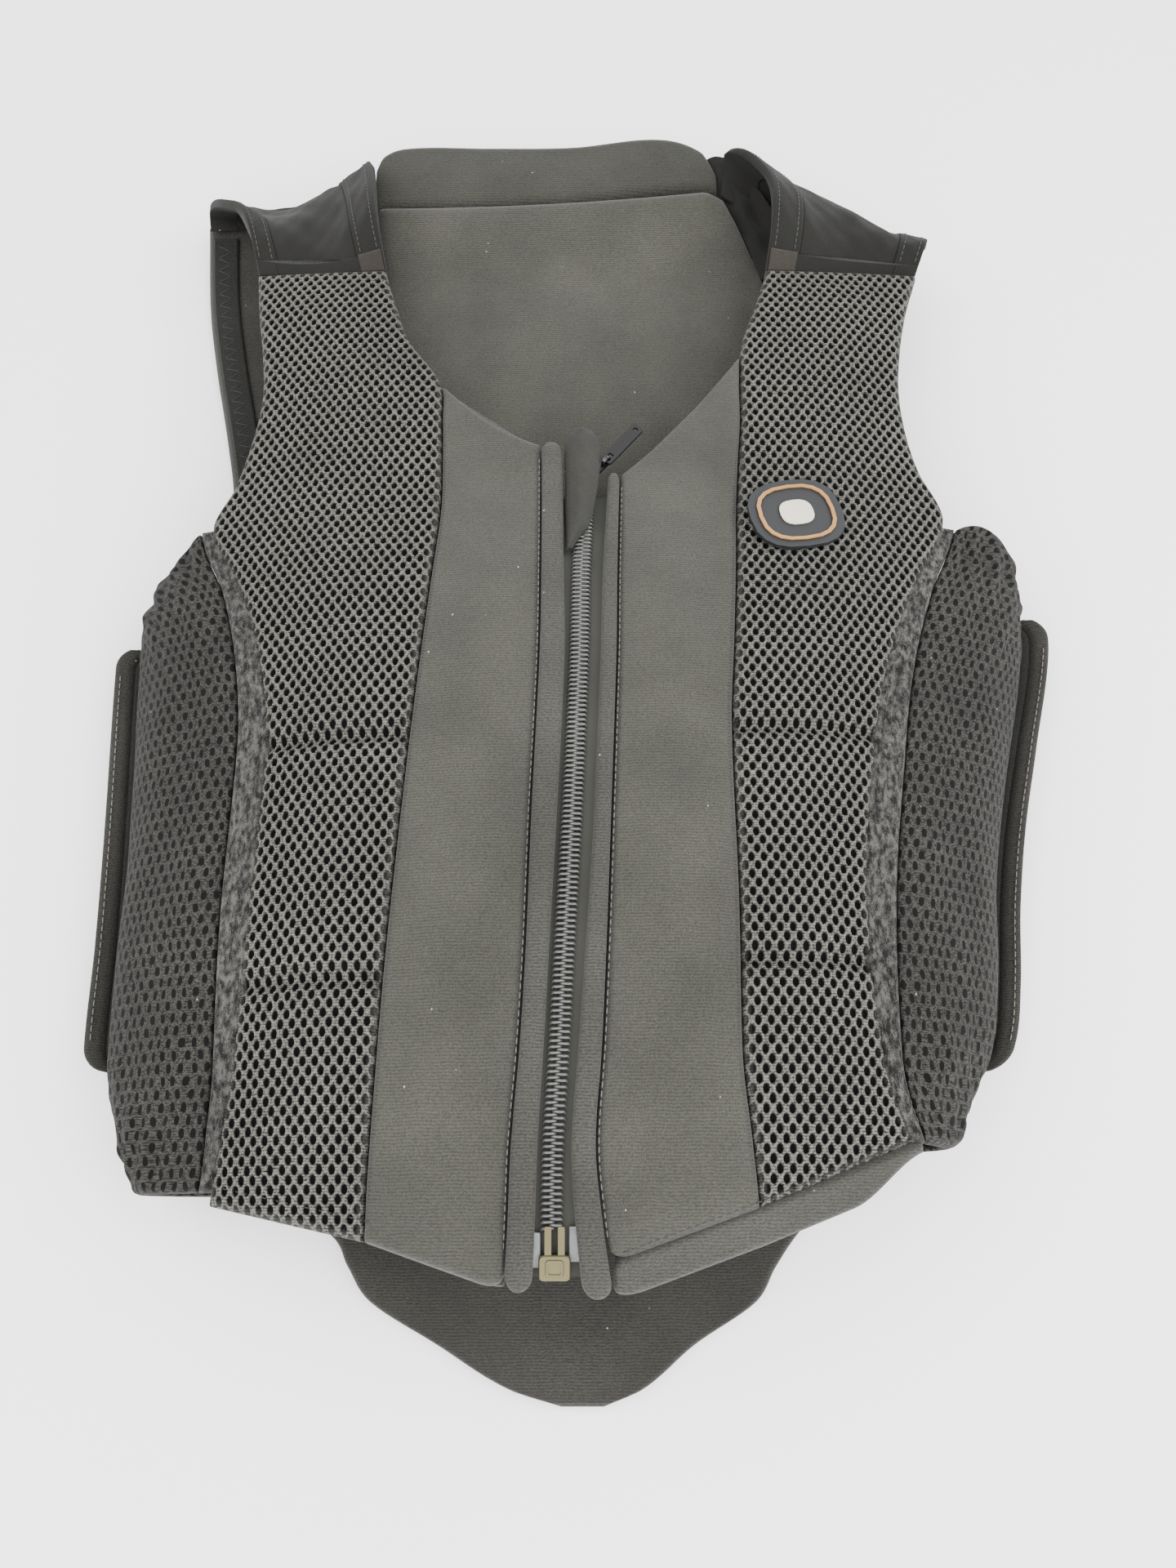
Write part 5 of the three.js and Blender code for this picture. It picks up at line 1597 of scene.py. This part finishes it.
@dataclass
class Flanks(Piece):
    """Seam bands, side panels and wings.

    Attributes:
        tuck: How far the side panel reaches over the back shell.
        lap: How far the seam band reaches under the mesh panel.
        push: How far out the section's third control point lies past the fold.
        low: Height that the section's two middle control points tend to.
    """

    tuck: float = 12.0
    lap: float = 2.4
    push: float = 36.0
    low: float = 34.0

    def build(self) -> None:
        """Builds both sides."""
        for side in SIDES:
            self.band(side)
            self.panel(side)
            self.wing(side)

    def rows(self, side: str, count: int) -> Array:
        """Places along the flank.

        Args:
            side: left or right.
            count: Number of steps.

        Returns:
            The places.
        """
        ends = np.array([HEM_SEAM[side], FLANK_END]) * LENGTH
        low, high = self.garment.spot(side, ends, "edge")[1]
        return mix(low, high, crowded(count))

    def band(self, side: str) -> None:
        """Crushed seam band.

        Args:
            side: left or right.
        """
        rows = self.rows(side, 300)
        edge = HALF_WIDTH * self.garment.edge[side](rows / LENGTH)
        inner = edge - SIGN[side] * self.lap
        outer = edge + SIGN[side] * (self.garment.band_width(side, rows) - GAP / 2.0)
        x = mix(inner[:, None], outer[:, None], crowded(BAND_STEPS)[None, :])
        y = rows[:, None] + 0.0 * x
        rough = ripple(x, y, 4.3, 1.0) * 0.35 + ripple(x, y, 9.0, 4.0) * 0.4
        self.pad(
            (f"seam_{side}", f"side_seam_{side}"), (x, y, self.garment.height(x, y) - 2.0),
            SEAM_BAND, 2.0, "crushed", 0.0, smooth(edge_distance(x, y) / 2.0) * (0.9 + rough),
            fill=0.5,
        )

    def section(self, side: str, y: Array) -> Array:
        """Four control points of the side panel's section at each place.

        Args:
            side: left or right.
            y: Places along.

        Returns:
            Distances from the centre line and heights, by place and control point.
        """
        along = y / LENGTH
        start = np.abs(HALF_WIDTH * self.garment.edge[side](along))
        start = start + self.garment.band_width(side, y) + GAP / 2.0
        fold = np.maximum(np.abs(HALF_WIDTH * self.garment.fold[side](along)), start + 12.0)
        end = np.abs(HALF_WIDTH * self.garment.back[side](along)) - self.tuck
        top = self.garment.height(start, y) - 2.0
        base = BACK_SHELL + GAP
        across = grid(start, mix(start, fold, 0.85), fold + self.push, end)
        high = grid(top, mix(top, self.low, 0.35), mix(base, self.low, 0.25), base)
        return grid(across, high)

    def panel(self, side: str) -> None:
        """Perforated side panel from the seam band over the fold to the back shell.

        Args:
            side: left or right.
        """
        y = self.rows(side, SIDE_STEPS[0])
        controls = self.section(side, y)
        t = crowded(SIDE_STEPS[1])[None, :, None]
        a, b, c, d = (controls[:, None, i, :] for i in range(4))
        spot = a * (1 - t) ** 3 + 3 * b * t * (1 - t) ** 2 + 3 * c * t**2 * (1 - t) + d * t**3
        slope = unit(3 * (1 - t) ** 2 * (b - a) + 6 * t * (1 - t) * (c - b) + 3 * t**2 * (d - c))
        out = grid(-slope[..., 1], slope[..., 0])
        normal = unit(mix(np.array([0.0, 1.0]), out, smooth(t / 0.2)))
        end = np.minimum(y - y[0], y[-1] - y)[:, None]
        steps = np.linalg.norm(np.diff(spot, axis=1), axis=-1)
        across = np.concatenate([np.zeros((len(y), 1)), np.cumsum(steps, axis=1)], axis=1)
        near = np.minimum(across, across[:, -1:] - across)
        places = y[:, None] + self.slant(side, t[..., 0], y[-1] - y[:, None])
        lift = self.puckers(across, places, end, near) - (roll(end, 3.0) + roll(across, 1.5))
        outer = spot + normal * lift[..., None]
        inner = spot - normal * (SIDE_PAD - roll(end, 1.5))[..., None]
        faces = (
            grid(SIGN[side] * outer[..., 0], places, outer[..., 1]),
            grid(SIGN[side] * inner[..., 0], places, inner[..., 1]),
            grid(across, places, np.minimum(end, near)),
        )
        self.layer(f"side_{side}", f"side_panel_{side}", faces, "perforated", 14, 0.7)

    @staticmethod
    def slant(side: str, share: Array, from_end: Array) -> Array:
        """How far the side panel is pulled along the body near its upper end.

        Args:
            side: left or right.
            share: Share of the way round the section.
            from_end: Distance to the upper end.

        Returns:
            The shift along.
        """
        rise, fall, over = SLANT[side]
        up = rise * np.sin(np.pi * np.clip(share / 0.45, 0.0, 1.0))
        return (up - fall * smooth(share / 0.5)) * smooth(1.0 - from_end / over)

    @staticmethod
    def puckers(across: Array, y: Array, end: Array, near: Array) -> Array:
        """Puckers of the side panel, strongest at its two ends.

        Args:
            across: Places round the section.
            y: Places along.
            end: Distance to the nearer end.
            near: Distance to the nearer long edge.

        Returns:
            Extra height.
        """
        gather = smooth(1.0 - end / 75.0) * smooth(end / 5.0) * smooth(near / 8.0)
        folds = 1.9 * ripple(across * 1.7, y * 0.5, 21.0, 2.0) + 0.9 * ripple(across, y, 11.0, 5.0)
        body = 0.7 * ripple(across, y * 0.45, 38.0, 1.0) * smooth(near / 12.0)
        return np.minimum(gather * folds, 1.6) + body

    def wing(self, side: str) -> None:
        """Flap under the side panel and its bound edge.

        Args:
            side: left or right.
        """
        along = mix(WING_START, WING_END[side], crowded(160))
        start = np.abs(HALF_WIDTH * self.garment.back[side](along)) + GAP
        from_end = np.minimum(along - along[0], along[-1] - along) * LENGTH
        end = np.abs(HALF_WIDTH * self.garment.fold[side](along)) + WING_REACH
        end = end - roll(from_end, WING_CORNER)
        width = end - start
        for name, first, last, rise, sink, finish, edge in (
            ("wing", 0.0 * width, 1.0 - (WING_BOUND + GAP) / width, 5.0, 0.0, "overlock", 1.0),
            ("wing_binding", 1.0 - WING_BOUND / width, 1.0 + 0.0 * width, 7.0, 1.0, "tail", 3.0),
        ):
            share = mix(first[:, None], last[:, None], crowded(BAND_STEPS)[None, :])
            x = SIGN[side] * mix(start[:, None], end[:, None], share)
            y = along[:, None] * LENGTH + 0.0 * x
            z = WING_LOW + WING_RISE * share**1.6 - sink + rise
            names = (f"{name}_piece_{side}", f"{name}_{side}")
            self.pad(names, (x, y, z), rise, edge, finish)


@dataclass
class BackPieces(Piece):
    """Back shell with the tail, inner pad, collar and armhole bindings."""

    def build(self) -> None:
        """Builds the pieces."""
        self.shell()
        self.inner_pad()
        self.collar()
        for side in SIDES:
            self.binding(side)

    def floor_pad(
        self,
        names: tuple[str, str],
        place: tuple[Array, Array],
        low: float,
        thickness: float,
        edge: float,
        finish: str,
        crown: float = 0.0,
        relief: Array | float = 0.0,
    ) -> None:
        """Pad that lies level, but for the back's curl.

        Args:
            names: The piece's name and its CAD node's.
            place: Places across and along.
            low: Height of its underside.
            thickness: Its thickness.
            edge: Radius of its edges.
            finish: Its finish.
            crown: Swell of its middle.
            relief: Extra height.
        """
        z = low + thickness + back_rise(place[1])
        self.pad(names, (*place, z), thickness, edge, finish, crown, relief, 0.4)

    def shell(self) -> None:
        """Back shell from the tail to the shoulders."""
        full = BACK["along"][-1] * LENGTH
        rows = mix(BACK["along"][0] * LENGTH, full, crowded(BACK_STEPS[0]))
        across = crowded(BACK_STEPS[1])
        top = Track(BACK_TOP, "along", "across")(across) * LENGTH - full
        y = rows[:, None] + top[None, :] * smooth(1.0 - (full - rows) / BACK_TOP_FADE)[:, None]
        left, right = (HALF_WIDTH * self.garment.back[side](y / LENGTH) for side in SIDES)
        x = mix(left, right, across[None, :])
        self.floor_pad(("back_outer", "back_shell"), (x, y), 0.0, BACK_SHELL, 3.0, "tail")

    def inner_pad(self) -> None:
        """Thick pad seen through the neck opening."""
        top = INNER_PAD["along"][-1]
        along = mix(INNER_PAD["along"][0], top, crowded(PAD_STEPS[0]))
        across = crowded(PAD_STEPS[1])
        rise = 10.0 * across[None, :] ** 2 * smooth(1.0 - (top - along) / 0.1)[:, None]
        corner = 1.0 - smooth((across[None, :] - 0.93) / 0.07) * 0.6
        y = along[:, None] * LENGTH + rise * corner
        left, right = (HALF_WIDTH * Track(INNER_PAD, side)(along)[:, None] for side in SIDES)
        x = mix(left, right, across[None, :])
        waves = 0.4 * ripple(x, y, 120.0, 2.0) * smooth(edge_distance(x, y) / 20.0)
        names = ("back_inner", "back_pad")
        self.floor_pad(names, (x, y), BACK_SHELL + GAP, BACK_PAD, 7.0, "smooth", 2.0, waves)

    def collar(self) -> None:
        """Collar behind the top edge of the back; its finish is the smooth neoprene darkened as
        painted shade.
        """
        left, right = (HALF_WIDTH * BACK[side][-1] for side in SIDES)
        edge = COLLAR_EDGE["across"]
        line = HALF_WIDTH * mix(edge[0], edge[-1], crowded(150))
        start = LENGTH * Track(BACK_TOP, "along", "across")((line - left) / (right - left)) + 1.2
        end = LENGTH * Track(COLLAR_EDGE, "along", "across")(line / HALF_WIDTH)
        y = mix(start[None, :], end[None, :], crowded(50)[:, None])
        x = line[None, :] + 0.0 * y
        names = ("collar", "back_collar")
        self.floor_pad(names, (x, y), 0.0, COLLAR_PAD, 5.0, "collar", 1.0)

    def binding(self, side: str) -> None:
        """Binding along an armhole of the back shell.

        Args:
            side: left or right.
        """
        along = np.linspace(0.64, {"left": 0.905, "right": 0.835}[side], 160)
        line = HALF_WIDTH * self.garment.back[side](along) - SIGN[side] * ARM_BINDING_INSET
        x = line[:, None] - SIGN[side] * ARM_BINDING_WIDTH * crowded(BAND_STEPS)[None, :]
        y = along[:, None] * LENGTH + 0.0 * x
        names = (f"arm_binding_{side}", f"back_binding_{side}")
        self.floor_pad(names, (x, y), BACK_SHELL + GAP, ARM_BINDING, 0.8, "overlock")


@dataclass
class Yokes(Piece):
    """Cloth yokes over the shoulders with their folded bands.

    Attributes:
        size: Width and length of a yoke's cloth, for the cloth coordinates.
        landing: How the back ends are carried on to rest on the back shell.
    """

    size: tuple[float, float] = (70.0, 130.0)
    landing: tuple[float, float, float] = (1.8, -7.0, 3.8)

    def build(self) -> None:
        """Builds both shoulders."""
        for side in SIDES:
            hem = self.strip(side, "hem", (0.02, 0.98), (0.012, 0.085), 1.7, "twill")
            neck = self.strip(side, "neck_patch", (0.012, 0.188), (0.01, 0.09), 2.3, "patch")
            arm = self.strip(side, "arm_patch", (0.842, 0.99), (0.01, 0.085), 2.3, "twill")
            self.part(side, "yoke_neck_band", (0.0, 0.2), YOKE_BAND, 0.0, neck)
            self.part(side, "yoke", (0.195, 0.835), YOKE_CLOTH, 3.0, hem)
            self.part(side, "yoke_arm_band", (0.83, 1.0), YOKE_BAND, 0.0, arm)
            for name, across in (
                ("neck_in", 0.035), ("neck_out", 0.165), ("arm_in", 0.865), ("arm_out", 0.965),
            ):
                self.stitches(side, name, across)
        self.gather()

    def gather(self) -> None:
        """Dark gathered cloth inside the right shoulder loop, beside the collar."""
        rows = mix(GATHER["along"][0], GATHER["along"][-1], crowded(110))[:, None]
        near, far = (Track(GATHER, column)(rows) for column in ("near", "far"))
        shares = crowded(90)[None, :]
        x = mix(near, far, shares)
        y = LENGTH * rows + 0.0 * x
        folds = 1.5 * np.sin(0.42 * x + 0.16 * y) + 1.1 * ripple(x, y * 0.6, 12.0, 2.0)
        z = mix(*GATHER_HEIGHT, shares) + folds
        outer = grid(x, y, z)
        faces = (outer, grid(x, y, z - 1.4), grid(x, y, 3.0))
        obj = self.layer("yoke_gather_right", "", faces, "twill", 90)
        self.cut_to(obj, outer, "gathered", ["back_outer"])

    def points(self, side: str, turn: Array, across: Array) -> Array:
        """Points of the yoke's surface.

        Args:
            side: left or right.
            turn: Shares of the way over the shoulder, by row and column.
            across: Shares from the neck side to the arm side.

        Returns:
            The points.
        """
        ends = []
        for edge in ("neck", "arm"):
            columns = [
                size * Track(YOKE[side], f"{edge}_{axis}", "turn")(turn)
                for axis, size in (("x", HALF_WIDTH), ("y", LENGTH), ("z", HEIGHT))
            ]
            rise = back_rise(LENGTH * YOKE[side][f"{edge}_y"][-1])
            ends.append(grid(*columns[:2], columns[2] + rise * smooth(2.0 * turn - 1.0)))
        sag = YOKE_SAG[side] * np.sin(np.pi * across) * np.sin(np.pi * turn)
        return mix(*ends, across[..., None]) - sag[..., None] * np.array([0.0, 0.8, 0.6])

    def frame_at(self, side: str, turn: Array, across: Array) -> tuple[Array, Array]:
        """Points of the yoke with the way out of its surface.

        Args:
            side: left or right.
            turn: Shares of the way over the shoulder, by row and column.
            across: Shares from the neck side to the arm side.

        Returns:
            The points and unit vectors out of the cloth.
        """
        spot = self.points(side, turn, across)
        ahead = self.points(side, np.minimum(turn + 0.01, 1.0), across)
        behind = self.points(side, np.maximum(turn - 0.01, 0.0), across)
        beside = self.points(side, turn, across + 0.01) - spot
        return spot, unit(SIGN[side] * np.cross(beside, ahead - behind))

    def strip(
        self,
        side: str,
        name: str,
        across: tuple[float, float],
        turn: tuple[float, float],
        lift: float,
        finish: str,
    ) -> bpy.types.Object:
        """Thin strip sewn on the yoke.

        Args:
            side: left or right.
            name: Its name.
            across: Shares across where it begins and ends.
            turn: Shares of the turn where it begins and ends.
            lift: How far it stands off the cloth.
            finish: Its finish.

        Returns:
            The strip.
        """
        turns, shares = np.meshgrid(mix(*turn, crowded(16)), crowded(40), indexing="ij")
        places = mix(*across, shares)
        spot, normal = self.frame_at(side, turns, places)
        width, length = self.size
        edge = np.minimum(
            np.minimum(places - across[0], across[1] - places) * width,
            np.minimum(turns - turn[0], turn[1] - turns) * length,
        )
        outer = spot + normal * (lift - roll(edge, 0.4))[..., None]
        faces = (outer, spot - normal * 0.1, grid(places * width, turns * length, edge))
        return self.layer(f"yoke_{name}_{side}", "", faces, finish, 8)

    def stitches(self, side: str, name: str, across: float) -> None:
        """Row of stitches along a band.

        Args:
            side: left or right.
            name: The row's name.
            across: Share across where it runs.
        """
        turn = np.linspace(0.1, 0.95, 200)[:, None]
        spot, normal = (part[:, 0] for part in self.frame_at(side, turn, across + 0.0 * turn))
        sewing = Sewing(self.garment, self.builder, self.materials)
        sewing.row(f"stitches_yoke_{name}_{side}", spot + 1.05 * normal, normal, 3.0, "tick")

    def part(
        self,
        side: str,
        node: str,
        across: tuple[float, float],
        thick: float,
        fold: float,
        sewn_on: bpy.types.Object,
    ) -> None:
        """One length of the yoke's cloth; the bands, which have no folds, stand proud.

        Args:
            side: left or right.
            node: The CAD node's name without its side.
            across: Shares across where it begins and ends.
            thick: Its thickness.
            fold: Height of its folds.
            sewn_on: The strip or patch at its front end.
        """
        rows, columns = YOKE_STEPS
        turn, share = np.meshgrid(np.linspace(0.0, 1.0, rows), crowded(columns), indexing="ij")
        places = mix(*across, share)
        spot, normal = self.frame_at(side, turn, places)
        crease = fold * np.sin(np.pi * share) * np.sin(turn * 9.0 + places * 7.0)
        crease = crease * np.sin(np.pi * turn)
        width, length = self.size
        x, y = places * width, turn * length
        edge = np.minimum(share, 1.0 - share) * (across[1] - across[0]) * width
        wrinkle = 0.5 * ripple(x * 1.4, y * 0.7, 16.0, 2.0) * smooth(edge / 4.0)
        lift = (0.0 if fold else 0.9) + crease + wrinkle - roll(edge, 1.0)
        inward = np.array(self.landing) * np.array([-SIGN[side], 1.0, 1.0])
        spot = spot + inward * smooth((turn - 0.93) / 0.07)[..., None]
        outer = spot + normal * lift[..., None]
        faces = (outer, spot + normal * (crease - thick)[..., None], grid(x, y, edge))
        obj = self.layer(f"{node}_cloth_{side}", f"{node}_{side}", faces, "twill", 24)
        self.cut_to(obj, outer, "draped", [f"mesh_{side}", "back_outer"], [sewn_on])


@dataclass
class ZipParts(Piece):
    """Welts, coils, hood and film patches.

    Attributes:
        wire: Half thickness of the coil's wire.
    """

    wire: float = 0.42

    def build(self) -> None:
        """Builds the zip."""
        for side in SIDES:
            self.welt(side)
            self.coil(side)
        self.hood()
        self.film()

    def film(self) -> None:
        """Clear film patches beside the box."""
        low, high = (np.array(corner)[:2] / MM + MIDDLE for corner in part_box("zip_box"))
        for side, inner, outer, rise in (
            ("left", low[0] + 0.6, low[0] - 3.6, 4.5), ("right", high[0] - 0.6, high[0] + 5.4, 6.5),
        ):
            share, step = np.meshgrid(crowded(10), crowded(14), indexing="ij")
            x = mix(inner, outer, share)
            y = mix(low[1] + rise, low[1] + rise + 12.0, step)
            curl = 0.5 * ripple(x, y, 9.0, 1.0)
            z = self.garment.height(x, y) - TAPE_TOP + 1.5 + 0.9 * share + curl
            faces = (grid(x, y, z), grid(x, y, z - 0.25), grid(x, y, 2.0))
            self.layer(f"film_{side}", "", faces, "film")

    def welt(self, side: str) -> None:
        """Padded welt beside the zip.

        Args:
            side: left or right.
        """
        shares = 0.1 * crowded(360) + 0.9 * smooth(crowded(360))
        rows = mix(HEM_SEAM[side] * LENGTH, NECK_SEAM[side] * LENGTH, shares)
        out, y = self.garment.spot(side, rows, "zip", raised=False)
        inner = HALF_WIDTH * self.garment.welt_in[side](y / LENGTH)
        centre = (out + inner) / 2.0
        half = np.abs(out - inner) / 2.0 - GAP / 2.0
        middle = self.garment.height(centre, y) - WELT_SINK + WELT_HEIGHT / 2.0
        end = np.minimum(y - y[0], y[-1] - y)
        swell = np.sqrt(np.clip(1.0 - np.clip(1.0 - end / 6.0, 0.0, 1.0) ** 2, 0.01, 1.0))
        angle = np.linspace(0.0, 2.0 * np.pi, WELT_AROUND + 1)[None, :-1]
        ways = (np.cos(angle), np.sin(angle))
        blunt_x, blunt_z = (np.sign(way) * np.abs(way) ** 0.7 for way in ways)
        x = centre[:, None] + (half * swell)[:, None] * blunt_x
        z = middle[:, None] + (swell * WELT_HEIGHT / 2.0)[:, None] * blunt_z
        y = y[:, None] + 0.0 * x
        z = z + 0.25 * ripple(x * 0.4, y, 17.0, 3.0) * (blunt_z > 0)
        material = self.materials.get("binding")
        obj = self.builder.loft(f"welt_{side}", grid(x, y, z), material, grid(x, y, 3.0))
        self.stand(obj, f"zip_welt_{side}", 0.8)

    def coil(self, side: str) -> None:
        """Coil half as a row of meshed nylon loops.

        Args:
            side: left or right.
        """
        low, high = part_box(f"zip_coil_{side}")
        start = min(low[1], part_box("zip_box")[1][1] - 0.002) / MM + MIDDLE[1]
        stop = high[1] / MM + MIDDLE[1]
        offset = {"left": 0.0, "right": COIL_PITCH / 2.0}[side]
        y = np.arange(start + 0.8 + offset, stop - 0.8, COIL_PITCH)
        path = np.array(COIL_LOOP)
        turn = np.linspace(0.0, 2.0 * np.pi, 7)[None, :-1, None]
        rise = unit(np.cross(unit(np.gradient(path, axis=0)), UP))
        wire = path[:, None] + self.wire * (np.cos(turn) * rise[:, None] + 1.35 * np.sin(turn) * UP)
        x = HALF_WIDTH * self.garment.coil(y / LENGTH)
        base = grid(x, y, self.garment.height(x, y) - TAPE_TOP + GAP)
        loop = grid(SIGN[side] * wire[..., 0], wire[..., 2], wire[..., 1])
        self.tubes(f"coil_{side}", f"zip_coil_{side}", base[:, None, None] + loop, "coil")

    def hood(self) -> None:
        """Arched cloth over the slider."""
        along = mix(HOOD["along"][0], HOOD["along"][-1], crowded(120))
        shares = crowded(60)[None, :]
        tracks = (Track(HOOD, column) for column in ("left", "right", "lift"))
        left, right, lift = (track(along)[:, None] for track in tracks)
        x = HALF_WIDTH * mix(left, right, shares)
        y = along[:, None] * LENGTH + 0.0 * x
        z = self.garment.height(x, y) + mix(*HOOD_TILT, shares) + lift * np.sin(np.pi * shares)
        edge = np.minimum(shares, 1.0 - shares) * (HALF_WIDTH * (right - left))
        wrinkle = 0.35 * ripple(x * 1.5, y * 0.6, 9.0, 2.0) * smooth(edge / 2.0)
        outer = grid(x, y, z + wrinkle)
        faces = (outer, grid(x, y, z - 1.5), grid(x, y, edge))
        obj = self.layer("hood", "zip_hood", faces, "hood", 30)
        self.cut_to(obj, outer, "folded", ["welt_left"])


@dataclass
class Studio:
    """Floor, backdrop, lights and camera.

    Attributes:
        elevation: Camera's angle above the floor, degrees.
        distance: Distance from the camera to the zip in the picture's middle, millimetres.
        aim: Place of the picture's middle in the sewing frame.
        lens: Focal length on a 36 mm high frame.
        lights: Each softbox's place and width in metres, and its power in watts.
    """

    elevation: float = 70.0
    distance: float = 508.0
    aim: tuple[float, float, float] = (0.0, 229.0, 98.0)
    lens: float = 30.0
    lights: tuple[tuple[tuple[float, float, float], float, float], ...] = (
        ((-0.9, -0.1, 1.5), 1.5, 34.0),
        ((1.1, -0.2, 1.4), 1.6, 54.0),
        ((0.0, -1.4, 1.2), 1.4, 22.0),
    )

    def build(self) -> None:
        """Builds the stage."""
        self.floor()
        self.world()
        for number, (place, size, power) in enumerate(self.lights):
            self.light(number, place, size, power)
        self.camera()

    @staticmethod
    def place(name: str, data: bpy.types.ID) -> bpy.types.Object:
        """Puts an object in the scene.

        Args:
            name: Its name.
            data: Its mesh, light or camera.

        Returns:
            The object.
        """
        obj = bpy.data.objects.new(name, data)
        bpy.context.scene.collection.objects.link(obj)
        return obj

    def floor(self, reach: float = 6.0) -> None:
        """Plain pale floor.

        Args:
            reach: Its half width, metres.
        """
        mesh = bpy.data.meshes.new("floor")
        corners = [(-reach, -reach), (reach, -reach), (reach, reach), (-reach, reach)]
        mesh.from_pydata([(x, y, 0.0) for x, y in corners], [], [(0, 1, 2, 3)])
        material = bpy.data.materials.new("floor")
        material.use_nodes = True
        shader = material.node_tree.nodes["Principled BSDF"]
        shader.inputs["Base Color"].default_value = (FLOOR_TONE, FLOOR_TONE, FLOOR_TONE, 1.0)
        shader.inputs["Roughness"].default_value = 0.9
        mesh.materials.append(material)
        self.place("floor", mesh)

    @staticmethod
    def world() -> None:
        """Even pale surroundings."""
        world = bpy.data.worlds.new("studio")
        bpy.context.scene.world = world
        world.use_nodes = True
        background = world.node_tree.nodes["Background"]
        background.inputs["Color"].default_value = (1.0, 1.0, 1.0, 1.0)
        background.inputs["Strength"].default_value = SKY_STRENGTH

    def light(
        self, number: int, place: tuple[float, float, float], size: float, power: float
    ) -> None:
        """Soft square light aimed at the object.

        Args:
            number: Its number.
            place: Where it stands, metres.
            size: Its width, metres.
            power: Its power, watts.
        """
        data = bpy.data.lights.new(f"softbox_{number}", "AREA")
        data.size = size
        data.energy = power
        obj = self.place(f"softbox_{number}", data)
        obj.location = place
        obj.rotation_euler = (-Vector(place)).to_track_quat("-Z", "Y").to_euler()

    def camera(self) -> None:
        """Camera at the photo's angle."""
        angle = math.radians(self.elevation)
        data = bpy.data.cameras.new("camera")
        data.sensor_fit = "VERTICAL"
        data.sensor_height = 36.0
        data.lens = self.lens
        obj = self.place("camera", data)
        aim = Vector((self.aim[0] - MIDDLE[0], self.aim[1] - MIDDLE[1], self.aim[2]))
        back = Vector((0.0, -math.cos(angle), math.sin(angle))) * self.distance
        obj.location = (aim + back) * MM
        obj.rotation_euler = (math.pi / 2.0 - angle, 0.0, 0.0)
        bpy.context.scene.camera = obj


def finish_hard_parts(frame: dict, materials: Materials) -> None:
    """Gives the CAD nodes that stay their finishes.

    Args:
        frame: The loaded frame.
        materials: The finishes.
    """
    kept = {
        "zip_slider": "metal", "zip_pull": "metal", "zip_box": "brass",
        "zip_tape_left": "tape", "zip_tape_right": "tape",
        "badge_patch": "rubber", "badge_ring": "ochre", "badge_middle": "cream",
    }
    for node, finish in kept.items():
        slots = frame["nodes"][node].data.materials
        slots.clear()
        slots.append(materials.get(finish))


def main() -> None:
    """Builds the scene in order."""
    logging.basicConfig(level=logging.INFO)
    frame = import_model()
    garment = Garment()
    builder = ClothBuilder()
    materials = Materials(NodeGroups())
    finish_hard_parts(frame, materials)
    for kind in (FrontPanels, Hems, Flanks, BackPieces, Yokes, ZipParts, Sewing):
        LOG.info("building %s", kind.__name__)
        kind(garment, builder, materials).build()
    Studio().build()


if __name__ == "__main__":
    main()
